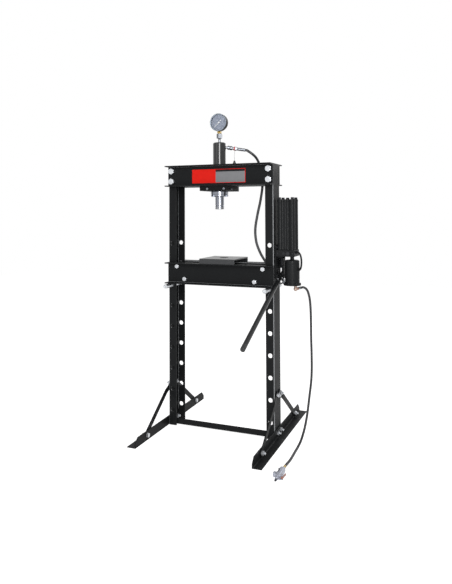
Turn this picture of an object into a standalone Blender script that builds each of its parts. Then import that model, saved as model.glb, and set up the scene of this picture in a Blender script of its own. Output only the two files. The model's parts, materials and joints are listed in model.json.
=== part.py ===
"""Hydraulic shop press with an air and hand pump.

The press is an H-frame: two channel uprights on angle feet, a pair of head beams that
carry the ram unit, and a bed that rests on two pins. Units are metres. +X points to the
pump's side, +Y away from the operator and +Z up. Every place below is given in the
frame's own coordinates, from the floor midway between the uprights. ORIGIN then moves
the whole press so that the file's origin lies on the floor, below the middle of its box.
"""

import math

import bmesh
import bpy
from mathutils import Matrix, Vector

# ---------------------------------------------------------------- fits and roundness
SEAT = 0.0003  # gap between two pieces that touch
RUNNING = 0.001  # gap at a face that slides
HOLE_SIDES = 12
SMALL_SIDES = 16
BODY_SIDES = 28

# ---------------------------------------------------------------- uprights
FRAME_WIDTH = 0.640  # over the uprights' webs
FRAME_HEIGHT = 1.500
UPRIGHT_DEPTH = 0.120
UPRIGHT_FLANGE = 0.048
UPRIGHT_WALL = 0.006
PIN_HOLE_D = 0.025
PIN_HOLE_PITCH = 0.120
PIN_HOLE_COUNT = 9
LOWEST_PIN_HOLE = 0.089
PIN_HOLE_INSET = 0.024  # from the web's outer face
PIN_LEVEL = 6  # the hole, counted from the lowest, that holds the bed pins

# ---------------------------------------------------------------- head beams
BEAM_HEIGHT = 0.120
BEAM_FLANGE = 0.054
BEAM_WALL = 0.006
HEAD_BOLT_D = 0.020
HEAD_BOLT_EDGE = 0.024  # from a flange's inner face to a bolt's middle
SPARE_HOLE_D = 0.012  # the plain hole between two head bolts

# ---------------------------------------------------------------- bed
BED_PIN_D = 0.024
BED_PIN_FRONT = 0.095  # how far a pin stands out in front of the upright
BED_PIN_REAR = 0.075
BED_BOLT_D = 0.016
BED_SLEEVE_D = 0.022
UPPER_BED_BOLT = (0.060, 0.023)  # in from the beam's end, down from its top
LOWER_BED_BOLT = (0.108, 0.025)  # in from the beam's end, up from its underside
PLATE_WIDTH = 0.210
PLATE_DEPTH = 0.230
PLATE_HEIGHT = 0.028
PLATE_WALL = 0.007
PLATE_HOLE_D = 0.050
PLATE_X = 0.004

# ---------------------------------------------------------------- feet and braces
FOOT_LENGTH = 0.890
FOOT_LEG = 0.050
FOOT_WALL = 0.005
FOOT_CHAMFER = 0.028
FOOT_BOLT_D = 0.012
FOOT_BOLT_Y = 0.028
FOOT_BOLT_Z = 0.027
BRACE_WIDTH = 0.030
BRACE_WALL = 0.005
BRACE_TOP = (0.014, 0.240)  # its upper end, (y, z)
BRACE_FOOT = (0.331, 0.0185)
BRACE_FLAT = 0.050  # the flat stretch below its upper end
BRACE_STEP = 0.080  # where the sideways step ends
SPREADER_LEG = 0.032
SPREADER_WALL = 0.004
SPREADER_Z = 0.005
SPREADER_Y = -0.044
TAB_WALL = 0.005
TAB_WIDTH = 0.100
TAB_TOP = 0.060

# ---------------------------------------------------------------- ram unit
RAM_X = -0.021
HEAD_PLATE_WIDTH = 0.160
HEAD_PLATE_DEPTH = 0.210
HEAD_PLATE_THICK = 0.028
CYLINDER_D = 0.075
CYLINDER_BORE = 0.060
CYLINDER_RISE = 0.133  # how far it stands above the beams
CYLINDER_CAP = 0.020
CYLINDER_CHAMFER = 0.004
COLLAR_D = 0.090
COLLAR_HEIGHT = 0.014
RING_NUT_D = 0.100
RING_NUT_HEIGHT = 0.032
GLAND_HEIGHT = 0.028
GLAND_CLEARANCE = 0.0004
ROD_D = 0.050
ROD_BORE = 0.030
PISTON_HEIGHT = 0.030
RAM_DROP = 0.133  # from the beams down to the ram's tip at rest
SADDLE_HEIGHT = 0.010
SADDLE_SPIGOT_D = 0.020
SADDLE_SPIGOT = 0.008
SPRING_D = 0.020  # between the wire's middles
SPRING_WIRE = 0.004
SPRING_TURNS = 10

# ---------------------------------------------------------------- gauge
RISER_PIPE_D = 0.014
RISER_PIPE = 0.024
COUPLING_FLATS = 0.029
COUPLING_HEIGHT = 0.028
STEM_FLATS = 0.020
STEM_HEIGHT = 0.013
GAUGE_D = 0.102
GAUGE_FRONT = 0.022  # from the ram's axis to the bezel's face
GAUGE_BACK = 0.018
GAUGE_WALL = 0.003
BEZEL_WIDTH = 0.0055
LENS_WALL = 0.002
DIAL_WALL = 0.001
DIAL_DEPTH = 0.014  # the dial's face, behind the bezel's
NEEDLE_LENGTH = 0.037
NEEDLE_TAIL = 0.010
NEEDLE_ZERO = -135.0  # degrees clockwise from straight up

# ---------------------------------------------------------------- ram hose
PORT_DROP = 0.022  # the hose port, below the cylinder's top
PORT_TURN = 23.4  # degrees from +X towards +Y
PORT_DIP = 8.0
NIPPLE = (0.014, 0.008)  # diameter and length of each fitting, from the cylinder out
COUPLER = (0.024, 0.028)
NECK = (0.016, 0.026)
FERRULE = (0.018, 0.050)
CAP_RING = (0.021, 0.008)
CAP_RING_AT = 0.048  # the ring's middle, from the cylinder
LEASH_D = 0.002
CAP_D = 0.018
CAP_HEIGHT = 0.018
CAP_DROP = 0.088  # from the coupler's axis to the cap's base
RAM_HOSE_D = 0.015
RAM_HOSE_ROUTE = (
    (0.157, 0.0740, 1.5650),
    (0.171, 0.1010, 1.5430),
    (0.181, 0.1240, 1.5080),
    (0.188, 0.1340, 1.4650),
    (0.195, 0.1350, 1.3900),
    (0.183, 0.1330, 1.3000),
    (0.163, 0.1330, 1.2120),
    (0.150, 0.1320, 1.1290),
    (0.156, 0.1320, 1.0560),
    (0.177, 0.1330, 0.9980),
    (0.203, 0.1350, 0.9530),
    (0.232, 0.1380, 0.9130),
    (0.260, 0.1410, 0.8820),
    (0.286, 0.1420, 0.8580),
    (0.308, 0.1380, 0.8430),
    (0.325, 0.1270, 0.8360),
    (0.335, 0.1110, 0.8340),
)

# ---------------------------------------------------------------- pump
BRACKET_WALL = 0.008
BRACKET_BOTTOM = 0.866
BRACKET_TOP = 1.050
BRACKET_DEPTH = 0.090
EAR_DEPTH = 0.034
EAR_WALL = 0.005
SHELF_WALL = 0.011
MANIFOLD_WIDTH = 0.104
MANIFOLD_DEPTH = 0.104
MANIFOLD_HEIGHT = 0.036
MANIFOLD_Z = 0.988
TANK_OUT = 0.064  # its middle, from the upright's web
TANK_HEIGHT = 0.262
TANK_HALF = 0.041  # from its middle to a flat side
LOBE_R = 0.015
LOBE_AT = 0.0335
TANK_BORE = 0.066
TANK_FLOOR = 0.008
LID_THICK = 0.014
LID_BOSS = (0.020, 0.010)
MOTOR_OUT = 0.087
MOTOR_D = 0.080
MOTOR_HEIGHT = 0.1582
MOTOR_FLANGE = (0.095, 0.010)
MOTOR_NECK = 0.0197
MOTOR_CHAMFER = 0.007
MOTOR_NECK_D = 0.022
FULCRUM_OUT = 0.024
FULCRUM_Z = 0.884
FULCRUM_PIN_D = 0.010
FULCRUM_HEAD = (0.016, 0.0025)
BOSS_D = 0.026
SOCKET_D = 0.025
SOCKET_LENGTH = 0.080
HANDLE_D = 0.020
HANDLE_END = 0.690  # from the fulcrum to the bar's end
HANDLE_START = 0.028
HANDLE_DROP = 23.6  # degrees below level at rest
CAM_ARM = 0.034
CAM_D = 0.014
PLUNGER_D = 0.012
PLUNGER_LENGTH = 0.050
BARREL_D = 0.030
BARREL_LENGTH = 0.0677
BARREL_BORE = 0.046
KNOB_OUT = 0.080
KNOB_D = 0.024
KNOB_LENGTH = 0.018
KNOB_STEM = (0.008, 0.012)
OUTLET_OUT = 0.018
OUTLET_D = 0.016
OUTLET_REACH = 0.022
OUTLET_PIPE = (0.010, 0.013)  # its diameter, and how far it stands behind the manifold
OUTLET_DROP = 0.172
SWIVEL = (0.018, 0.034)  # the hose's nut and where it ends, behind the manifold
PIPE_D = 0.010
PIPE_Y = -0.012
PIPE_RISE = 0.024  # where it leaves the manifold, above its underside
PIPE_DROP = 0.071  # where it enters the air motor, below the manifold
PIPE_ROUTE = (  # from the web's face, the middle and the manifold's underside
    (0.129, -0.012, 0.020),
    (0.137, -0.012, 0.006),
    (0.141, -0.012, -0.012),
    (0.142, -0.012, -0.030),
    (0.141, -0.012, -0.048),
    (0.138, -0.012, -0.062),
)

# ---------------------------------------------------------------- air line
ELBOW_OFFSET = 0.018  # out from the air motor's middle
ELBOW_DROP = 0.020  # its ball's middle, below the air motor
ELBOW_BALL_D = 0.022
ELBOW_STEM_D = 0.014
ELBOW_SPOUT_D = 0.012
ELBOW_SPOUT = 0.032
ELBOW_RISE = 16.0  # degrees above level
AIR_HOSE_D = 0.0125
AIR_HOSE_ROUTE = (
    (0.4700, 0.0010, 0.8205),
    (0.4820, 0.0030, 0.8140),
    (0.4910, 0.0050, 0.8000),
    (0.4970, 0.0065, 0.7800),
    (0.5015, 0.0080, 0.7550),
    (0.5045, 0.0090, 0.7200),
    (0.5060, 0.0100, 0.6740),
    (0.5065, 0.0100, 0.6050),
    (0.5070, 0.0100, 0.5360),
    (0.5085, 0.0100, 0.4680),
    (0.5085, 0.0100, 0.3790),
    (0.5050, 0.0080, 0.3120),
    (0.4965, 0.0010, 0.2340),
    (0.4880, -0.0160, 0.1450),
    (0.4805, -0.0420, 0.0820),
    (0.4720, -0.0830, 0.0330),
    (0.4670, -0.1250, 0.0140),
    (0.4655, -0.1770, 0.0075),
    (0.4675, -0.2350, 0.0070),
    (0.4695, -0.2900, 0.0075),
    (0.4695, -0.3450, 0.0110),
)
VALVE_X = 0.469
VALVE_Y = -0.385  # where the hose ends in the ferrule
VALVE_SIDE = 0.026
VALVE_LENGTH = 0.093
VALVE_FERRULE = (0.016, 0.035)
VALVE_BOSS = (0.026, 0.014)
VALVE_BOSS_Y = -0.487
VALVE_NOZZLE = (0.014, 0.024)
VALVE_TIP = (0.009, 0.014)
LEVER_PIVOT = (0.489, -0.507)  # (x, y)
LEVER_BOSS_D = 0.010
LEVER_PIN = (0.004, 0.010)  # its diameter, and its reach above and below the lever's middle
LEVER_LENGTH = 0.050
LEVER_WALL = 0.004
LEVER_HEIGHT = 0.009
LEVER_SPLAY = 12.0

# ---------------------------------------------------------------- worked out
WEB_FACE = FRAME_WIDTH / 2
PIN_X = WEB_FACE - PIN_HOLE_INSET
FLANGE_FACE = UPRIGHT_DEPTH / 2
PIN_Z = LOWEST_PIN_HOLE + PIN_LEVEL * PIN_HOLE_PITCH
BED_BOTTOM = PIN_Z + BED_PIN_D / 2 + SEAT
BED_TOP = BED_BOTTOM + BEAM_HEIGHT
HEAD_BOTTOM = FRAME_HEIGHT - BEAM_HEIGHT
HEAD_BOLT_Z = HEAD_BOTTOM + BEAM_HEIGHT / 2
HEAD_BOLT_SPACING = BEAM_HEIGHT - 2 * (BEAM_WALL + HEAD_BOLT_EDGE)
CYLINDER_TOP = FRAME_HEIGHT + CYLINDER_RISE
RAM_TIP = HEAD_BOTTOM - RAM_DROP
HEAD_PLATE_TOP = HEAD_BOTTOM - SEAT
HEAD_PLATE_BOTTOM = HEAD_PLATE_TOP - HEAD_PLATE_THICK
NUT_TOP = HEAD_PLATE_BOTTOM - SEAT
NUT_BOTTOM = NUT_TOP - RING_NUT_HEIGHT
COUPLING_BOTTOM = CYLINDER_TOP + SEAT + RISER_PIPE
STEM_BOTTOM = COUPLING_BOTTOM + COUPLING_HEIGHT + SEAT
GAUGE_Z = STEM_BOTTOM + STEM_HEIGHT + SEAT + GAUGE_D / 2
BRACKET_X = WEB_FACE + SEAT
MANIFOLD_X = BRACKET_X + BRACKET_WALL + SEAT
MANIFOLD_RIGHT = MANIFOLD_X + MANIFOLD_WIDTH
MANIFOLD_MIDDLE = MANIFOLD_Z + MANIFOLD_HEIGHT / 2
TANK_X = WEB_FACE + TANK_OUT
MOTOR_X = WEB_FACE + MOTOR_OUT
MOTOR_BOTTOM = MANIFOLD_Z - SEAT - MOTOR_HEIGHT
FULCRUM = (WEB_FACE + FULCRUM_OUT, 0.0, FULCRUM_Z)
BARREL_BOTTOM = MANIFOLD_Z - SEAT - BARREL_LENGTH
KNOB_X = WEB_FACE + KNOB_OUT
OUTLET_X = WEB_FACE + OUTLET_OUT
ELBOW = (MOTOR_X + ELBOW_OFFSET, 0.0, MOTOR_BOTTOM - ELBOW_DROP)
TANK_BOTTOM = MANIFOLD_Z + MANIFOLD_HEIGHT + SEAT
LID_BOTTOM = TANK_BOTTOM + TANK_HEIGHT + SEAT
EAR_X = FULCRUM[0] + SOCKET_D / 2 + 2 * SEAT
FOOT_OUT = WEB_FACE + SEAT + FOOT_LEG
PIPE_FAR = WEB_FACE + max(point[0] for point in PIPE_ROUTE) + PIPE_D / 2
HANDLE_TILT = math.radians(HANDLE_DROP)
HANDLE_OUT = HANDLE_END * math.cos(HANDLE_TILT) + HANDLE_D / 2 * math.sin(HANDLE_TILT)
ORIGIN = Vector(((FOOT_OUT - PIPE_FAR) / 2, (HANDLE_OUT - FOOT_LENGTH / 2) / 2, 0))

FINISHES = {  # base colour, metallic, roughness
    "black_paint": ((0.020, 0.021, 0.022), 0.0, 0.45),
    "black_alloy": ((0.025, 0.026, 0.027), 0.2, 0.40),
    "zinc": ((0.62, 0.63, 0.65), 1.0, 0.35),
    "chrome": ((0.72, 0.72, 0.74), 1.0, 0.12),
    "steel": ((0.45, 0.45, 0.46), 1.0, 0.40),
    "brass": ((0.60, 0.42, 0.18), 1.0, 0.35),
    "dial_print": ((0.30, 0.33, 0.36), 0.0, 0.60),
    "clear_lens": ((0.80, 0.84, 0.86), 0.0, 0.05),
    "white_paint": ((0.85, 0.85, 0.85), 0.0, 0.50),
    "hose_rubber": ((0.018, 0.018, 0.020), 0.0, 0.60),
    "red_plastic": ((0.42, 0.07, 0.05), 0.0, 0.45),
}


# ---------------------------------------------------------------- building blocks
def clear_scene():
    """Removes whatever the file holds, so that only the press is left."""
    for obj in list(bpy.data.objects):
        bpy.data.objects.remove(obj)


def finish(name):
    """The named finish as a material, made once."""
    found = bpy.data.materials.get(name)
    if found:
        return found
    colour, metallic, roughness = FINISHES[name]
    made = bpy.data.materials.new(name)
    made.use_nodes = True
    shader = made.node_tree.nodes["Principled BSDF"]
    shader.inputs["Base Color"].default_value = (*colour, 1.0)
    shader.inputs["Metallic"].default_value = metallic
    shader.inputs["Roughness"].default_value = roughness
    return made


def empty(name, at, parent=None):
    """An empty at a place in the frame's coordinates, to carry what moves with it."""
    made = bpy.data.objects.new(name, None)
    bpy.context.scene.collection.objects.link(made)
    hang(made, at, parent)
    return made


def anchor(parent):
    """Where an empty lies in the frame's coordinates."""
    place = Vector()
    while parent and parent.parent:
        place += parent.location
        parent = parent.parent
    return place


def hang(obj, at, parent):
    """Puts an object at a place in the frame's coordinates and hangs it on an empty."""
    obj.parent = parent
    obj.location = Vector(at) - anchor(parent)


def place(name, shape, material, at, parent, turn=(0, 0, 0)):
    """Makes a node of a bmesh, at a place in the frame's coordinates, turned in degrees."""
    bmesh.ops.recalc_face_normals(shape, faces=shape.faces)
    mesh = bpy.data.meshes.new(name)
    shape.to_mesh(mesh)
    shape.free()
    mesh.shade_smooth()
    mesh.set_sharp_from_angle(angle=math.radians(30))
    mesh.materials.append(finish(material))
    obj = bpy.data.objects.new(name, mesh)
    bpy.context.scene.collection.objects.link(obj)
    obj.rotation_euler = [math.radians(angle) for angle in turn]
    hang(obj, at, parent)
    return obj


def combine(obj, operation, *shapes):
    """Joins shapes to a node or cuts them from it. They lie in the node's own coordinates."""
    for number, shape in enumerate(shapes):
        helper = place(f"{obj.name}_{operation.lower()}_{number}", shape, "steel", (0, 0, 0), None)
        helper.parent = obj
        helper.location = (0, 0, 0)
        helper.hide_render = True
        helper.display_type = "WIRE"
        step = obj.modifiers.new(helper.name, "BOOLEAN")
        step.operation = operation
        step.solver = "EXACT"
        step.object = helper
    return obj


def block(low, high):
    """A box between two corners."""
    shape = bmesh.new()
    bmesh.ops.create_cube(shape, size=1)
    size = Vector(high) - Vector(low)
    middle = (Vector(high) + Vector(low)) / 2
    bmesh.ops.transform(shape, matrix=Matrix.LocRotScale(middle, None, size), verts=shape.verts)
    return shape


def along(axis, u, v, w):
    """A point that lies w along the axis, and u and v on the other two in X, Y, Z order."""
    return {"X": (w, u, v), "Y": (u, w, v), "Z": (u, v, w)}[axis]


def prism(outline, axis, start, end):
    """A closed outline pushed along an axis. Its points are on the other two axes."""
    shape = bmesh.new()
    face = shape.faces.new([shape.verts.new(along(axis, u, v, start)) for u, v in outline])
    pushed = bmesh.ops.extrude_face_region(shape, geom=[face])["geom"]
    moved = [item for item in pushed if isinstance(item, bmesh.types.BMVert)]
    bmesh.ops.translate(shape, vec=along(axis, 0, 0, end - start), verts=moved)
    return shape


def turned(axis, sides, *profile, closed=False):
    """A profile of (radius, height) points turned round an axis through the origin.

    It starts and ends on the axis, or is closed for a shape with a hole through it.
    """
    shape = bmesh.new()
    rings = []
    for radius, height in profile:
        count = sides if radius > 0 else 1
        turns = [2 * math.pi * (k + 0.5) / sides for k in range(count)]
        corners = [(radius * math.cos(a), radius * math.sin(a)) for a in turns]
        rings.append([shape.verts.new(along(axis, u, v, height)) for u, v in corners])
    pairs = list(zip(rings, rings[1:]))
    if closed:
        pairs.append((rings[-1], rings[0]))
    for lower, upper in pairs:
        for k in range(sides):
            ring = [lower[k % len(lower)], lower[(k + 1) % len(lower)]]
            ring += [upper[(k + 1) % len(upper)], upper[k % len(upper)]]
            corners = [v for i, v in enumerate(ring) if v not in ring[:i]]
            if len(corners) > 2:
                shape.faces.new(corners)
    return shape


def rod(axis, diameter, start, end, sides=SMALL_SIDES, middle=(0, 0, 0)):
    """A plain round bar along an axis, about a middle that may be off the origin."""
    radius = diameter / 2
    shape = turned(axis, sides, (0, start), (radius, start), (radius, end), (0, end))
    bmesh.ops.translate(shape, vec=middle, verts=shape.verts)
    return shape


def shaft(axis, sides, *steps):
    """A stepped round bar of (diameter, start, end) lengths that follow one another."""
    profile = [(0, steps[0][1])]
    for diameter, start, end in steps:
        profile += [(diameter / 2, start), (diameter / 2, end)]
    profile.append((0, steps[-1][2]))
    return turned(axis, sides, *profile)


def gathered(*shapes):
    """Several shapes that don't touch, as one cutter."""
    whole = bmesh.new()
    for shape in shapes:
        mesh = bpy.data.meshes.new("gathered")
        bmesh.ops.recalc_face_normals(shape, faces=shape.faces)
        shape.to_mesh(mesh)
        shape.free()
        whole.from_mesh(mesh)
        bpy.data.meshes.remove(mesh)
    return whole


def channel(depth, flange, wall, facing):
    """A channel's outline: its web on the first axis's zero, its flanges towards facing."""
    half = depth / 2
    near, far = facing * wall, facing * flange
    return (
        (0, -half), (far, -half), (far, -half + wall), (near, -half + wall),
        (near, half - wall), (far, half - wall), (far, half), (0, half),
    )  # fmt: skip


def smooth_path(route, spacing):
    """Evenly spaced points on a smooth curve through a route's points."""
    points = [Vector(point) for point in route]
    ends = [2 * points[0] - points[1], *points, 2 * points[-1] - points[-2]]
    fine = [points[0]]
    for before, a, b, after in zip(ends, ends[1:], ends[2:], ends[3:]):
        for step in range(1, 13):
            t = step / 12
            fine.append(
                0.5 * (2 * a + (b - before) * t + (2 * before - 5 * a + 4 * b - after) * t**2)
                + 0.5 * (3 * a - before - 3 * b + after) * t**3
            )
    lengths = [(b - a).length for a, b in zip(fine, fine[1:])]
    count = max(2, round(sum(lengths) / spacing))
    step = sum(lengths) / count
    path, passed = [fine[0]], 0.0
    for start, end, length in zip(fine, fine[1:], lengths):
        while len(path) < count and passed + length >= step * len(path):
            share = (step * len(path) - passed) / length
            path.append(start.lerp(end, share))
        passed += length
    return [*path, fine[-1]]


def hose_path(start, leaving, route, end, arriving, diameter):
    """A hose's path. Each end stays straight for a short way out of its fitting."""
    lead = 0.7 * diameter
    first, last = start + Vector(leaving) * lead, end + Vector(arriving) * lead
    return [start, *smooth_path((first, *route, last), 2.2 * diameter), end]


def tube(name, path, diameter, material, parent, resolution=2):
    """A round tube along a path, with closed ends."""
    curve = bpy.data.curves.new(name, "CURVE")
    curve.dimensions = "3D"
    curve.bevel_depth = diameter / 2
    curve.bevel_resolution = resolution
    curve.use_fill_caps = True
    spline = curve.splines.new("POLY")
    spline.points.add(len(path) - 1)
    for point, at in zip(spline.points, path):
        point.co = (*at, 1.0)
    curve.materials.append(finish(material))
    obj = bpy.data.objects.new(name, curve)
    bpy.context.scene.collection.objects.link(obj)
    hang(obj, (0, 0, 0), parent)
    return obj


def through_bolt(name, size, axis, inner, outer, at, parent, sleeve=None):
    """A hex bolt with its washers and nut, clamping from inner to outer along an axis.

    Its head is at the inner end. A sleeve of (diameter, start, end) may sit on its shank.
    """
    washer, thick = 0.9 * size, 0.15 * size
    head, flats = 0.62 * size, 1.5 * size / math.cos(math.pi / 6)
    low, high = inner - SEAT, outer + SEAT
    washers = [(2 * washer, low - thick, low), (size, low, high), (2 * washer, high, high + thick)]
    if sleeve:
        washers[1:2] = [(size, low, sleeve[1]), sleeve, (size, sleeve[2], high)]
    obj = place(name, shaft(axis, HOLE_SIDES, *washers), "zinc", at, parent)
    bite = thick / 2
    ends = ((low - thick - head, low - thick + bite), (high + thick - bite, high + thick + head))
    return combine(obj, "UNION", *(rod(axis, flats, a, b, sides=6) for a, b in ends))


def hole(axis, diameter, start, end, middle):
    """A cutter for a round hole along an axis."""
    return rod(axis, diameter, start, end, sides=HOLE_SIDES, middle=middle)


# ---------------------------------------------------------------- frame
def make_upright(name, side, parent):
    """A channel upright with its web outwards, pin holes, and holes for its bolts."""
    outline = channel(UPRIGHT_DEPTH, UPRIGHT_FLANGE, UPRIGHT_WALL, -side)
    upright = place(
        name, prism(outline, "Z", 0, FRAME_HEIGHT), "black_paint", (side * WEB_FACE, 0, 0), parent
    )
    x = -side * PIN_HOLE_INSET
    span = (-UPRIGHT_DEPTH, UPRIGHT_DEPTH)
    holes = [
        hole("Y", PIN_HOLE_D, *span, (x, 0, LOWEST_PIN_HOLE + k * PIN_HOLE_PITCH))
        for k in range(PIN_HOLE_COUNT)
    ]
    for level in (-1, 1):
        z = HEAD_BOLT_Z + level * HEAD_BOLT_SPACING / 2
        holes.append(hole("Y", HEAD_BOLT_D + 2 * SEAT, *span, (x, 0, z)))
    for y in (-FOOT_BOLT_Y, FOOT_BOLT_Y):
        wide = FOOT_BOLT_D + 2 * SEAT
        holes.append(hole("X", wide, -2 * UPRIGHT_WALL, 2 * UPRIGHT_WALL, (0, y, FOOT_BOLT_Z)))
    combine(upright, "DIFFERENCE", gathered(*holes))


def make_head_beam(name, side, parent):
    """A channel head beam: its web lies on the uprights, its flanges point away."""
    outline = channel(BEAM_HEIGHT, BEAM_FLANGE, BEAM_WALL, side)
    at = (0, side * (FLANGE_FACE + SEAT), HEAD_BOLT_Z)
    beam = place(name, prism(outline, "X", -WEB_FACE, WEB_FACE), "black_paint", at, parent)
    holes = []
    for x in (-PIN_X, PIN_X):
        for z in (-HEAD_BOLT_SPACING / 2, 0, HEAD_BOLT_SPACING / 2):
            wide = HEAD_BOLT_D + 2 * SEAT if z else SPARE_HOLE_D
            holes.append(hole("Y", wide, -2 * BEAM_WALL, 2 * BEAM_WALL, (x, 0, z)))
    combine(beam, "DIFFERENCE", gathered(*holes))


def make_head_bolts(parent):
    """Four long bolts that clamp both head beams on the uprights."""
    reach = FLANGE_FACE + SEAT + BEAM_WALL
    for word, x in (("left", -PIN_X), ("right", PIN_X)):
        for height, level in (("lower", -1), ("upper", 1)):
            at = (x, 0, HEAD_BOLT_Z + level * HEAD_BOLT_SPACING / 2)
            through_bolt(f"head_bolt_{word}_{height}", HEAD_BOLT_D, "Y", -reach, reach, at, parent)


def make_foot(name, side, parent):
    """An angle foot: one leg on the upright's web, the other flat on the floor."""
    half, corner = FOOT_LENGTH / 2, FOOT_CHAMFER
    outline = (
        (-half, 0), (half, 0), (half, FOOT_LEG - corner), (half - corner, FOOT_LEG),
        (corner - half, FOOT_LEG), (-half, FOOT_LEG - corner),
    )  # fmt: skip
    at = (side * (WEB_FACE + SEAT), 0, 0)
    foot = place(name, prism(outline, "X", 0, side * FOOT_WALL), "black_paint", at, parent)
    combine(foot, "UNION", block(*sorted(((0, -half, 0), (side * FOOT_LEG, half, FOOT_WALL)))))
    holes = [
        hole("X", FOOT_BOLT_D + 2 * SEAT, -2 * FOOT_WALL, 2 * FOOT_WALL, (0, y, FOOT_BOLT_Z))
        for y in (-FOOT_BOLT_Y, FOOT_BOLT_Y)
    ]
    combine(foot, "DIFFERENCE", gathered(*holes))


def make_brace(name, side, end, parent):
    """A flat bar from the upright's web down to the foot, with a step between the two."""
    top, foot = Vector(BRACE_TOP), Vector(BRACE_FOOT)
    way = (foot - top).normalized()
    across = Vector((-way.y, way.x)) * BRACE_WIDTH / 2
    on_web, on_foot = SEAT, FOOT_WALL + 2 * SEAT
    stations = ((0, on_web), (BRACE_FLAT, on_web), (BRACE_STEP, on_foot))
    stations += (((foot - top).length, on_foot),)
    shape = bmesh.new()
    rings = []
    for distance, out in stations:
        middle = top + way * distance
        corners = ((middle - across, 0), (middle + across, 0), (middle + across, 1), (middle - across, 1))
        rings.append(
            [shape.verts.new((side * (out + k * BRACE_WALL), end * p.x, p.y)) for p, k in corners]
        )
    shape.faces.new(rings[0])
    shape.faces.new(rings[-1])
    for lower, upper in zip(rings, rings[1:]):
        for k in range(4):
            shape.faces.new((lower[k], lower[k - 1], upper[k - 1], upper[k]))
    place(name, shape, "black_paint", (side * WEB_FACE, 0, 0), parent)


def make_spreader(parent):
    """An angle between the uprights, with a bolted tab at each end."""
    half = WEB_FACE - UPRIGHT_WALL - SEAT
    wall, leg, y, z = SPREADER_WALL, SPREADER_LEG, SPREADER_Y, SPREADER_Z
    flat = ((y, z), (y + leg, z), (y + leg, z + wall))
    outline = (*flat, (y + wall, z + wall), (y + wall, z + leg), (y, z + leg))
    spreader = place("spreader", prism(outline, "X", -half, half), "black_paint", (0, 0, 0), parent)
    for side in (-1, 1):
        low = (side * (half - TAB_WALL), -TAB_WIDTH / 2, z)
        high = (side * half, TAB_WIDTH / 2, TAB_TOP)
        corners = [[min(a, b) for a, b in zip(low, high)], [max(a, b) for a, b in zip(low, high)]]
        combine(spreader, "UNION", block(*corners))
    wide = FOOT_BOLT_D + 2 * SEAT
    holes = [
        hole("X", wide, side * half - TAB_WALL * 2, side * half + TAB_WALL * 2, (0, y, FOOT_BOLT_Z))
        for side in (-1, 1)
        for y in (-FOOT_BOLT_Y, FOOT_BOLT_Y)
    ]
    combine(spreader, "DIFFERENCE", gathered(*holes))


def make_foot_bolts(parent):
    """Two bolts a side through the foot, the upright's web and the spreader's tab."""
    outer = WEB_FACE + SEAT + FOOT_WALL
    inner = WEB_FACE - UPRIGHT_WALL - SEAT - TAB_WALL
    for word, span in (("left", (-outer, -inner)), ("right", (inner, outer))):
        for end, y in (("front", -FOOT_BOLT_Y), ("rear", FOOT_BOLT_Y)):
            at = (0, y, FOOT_BOLT_Z)
            through_bolt(f"foot_bolt_{word}_{end}", FOOT_BOLT_D, "X", *span, at, parent)


def make_frame(parent):
    """The uprights, the head beams, the feet, and what holds them together."""
    for word, side in (("left", -1), ("right", 1)):
        make_upright(f"upright_{word}", side, parent)
        make_foot(f"foot_{word}", side, parent)
        for end_word, end in (("front", -1), ("rear", 1)):
            make_brace(f"brace_{word}_{end_word}", side, end, parent)
    make_head_beam("head_beam_front", -1, parent)
    make_head_beam("head_beam_rear", 1, parent)
    make_head_bolts(parent)
    make_spreader(parent)
    make_foot_bolts(parent)


# ---------------------------------------------------------------- ram unit
def make_cylinder(parent):
    """The plate under the beams, the cylinder that hangs in it, and its ring nut."""
    at = (RAM_X, 0, 0)
    half_x, half_y = HEAD_PLATE_WIDTH / 2, HEAD_PLATE_DEPTH / 2
    plate = block((-half_x, -half_y, HEAD_PLATE_BOTTOM), (half_x, half_y, HEAD_PLATE_TOP))
    plate = place("head_plate", plate, "black_paint", at, parent)
    bore = CYLINDER_D + 2 * SEAT
    combine(
        plate, "DIFFERENCE", rod("Z", bore, HEAD_PLATE_BOTTOM - 0.01, HEAD_PLATE_TOP + 0.01, BODY_SIDES)
    )
    outer, inner, lip = CYLINDER_D / 2, CYLINDER_BORE / 2, ROD_D / 2 + GLAND_CLEARANCE
    shoulder = HEAD_PLATE_TOP + SEAT
    cylinder = turned(
        "Z", BODY_SIDES,
        (0, CYLINDER_TOP), (outer - CYLINDER_CHAMFER, CYLINDER_TOP),
        (outer, CYLINDER_TOP - CYLINDER_CHAMFER), (outer, shoulder + COLLAR_HEIGHT),
        (COLLAR_D / 2, shoulder + COLLAR_HEIGHT), (COLLAR_D / 2, shoulder),
        (outer, shoulder), (outer, NUT_BOTTOM), (lip, NUT_BOTTOM),
        (lip, NUT_BOTTOM + GLAND_HEIGHT), (inner, NUT_BOTTOM + GLAND_HEIGHT),
        (inner, CYLINDER_TOP - CYLINDER_CAP), (0, CYLINDER_TOP - CYLINDER_CAP),
    )  # fmt: skip
    place("ram_cylinder", cylinder, "black_paint", at, parent)
    nut_in, nut_out, chamfer = outer + SEAT, RING_NUT_D / 2, 0.003
    nut = turned(
        "Z", BODY_SIDES,
        (nut_in, NUT_TOP), (nut_out - chamfer, NUT_TOP), (nut_out, NUT_TOP - chamfer),
        (nut_out, NUT_BOTTOM + chamfer), (nut_out - chamfer, NUT_BOTTOM), (nut_in, NUT_BOTTOM),
        closed=True,
    )  # fmt: skip
    place("ram_ring_nut", nut, "chrome", at, parent)


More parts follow.
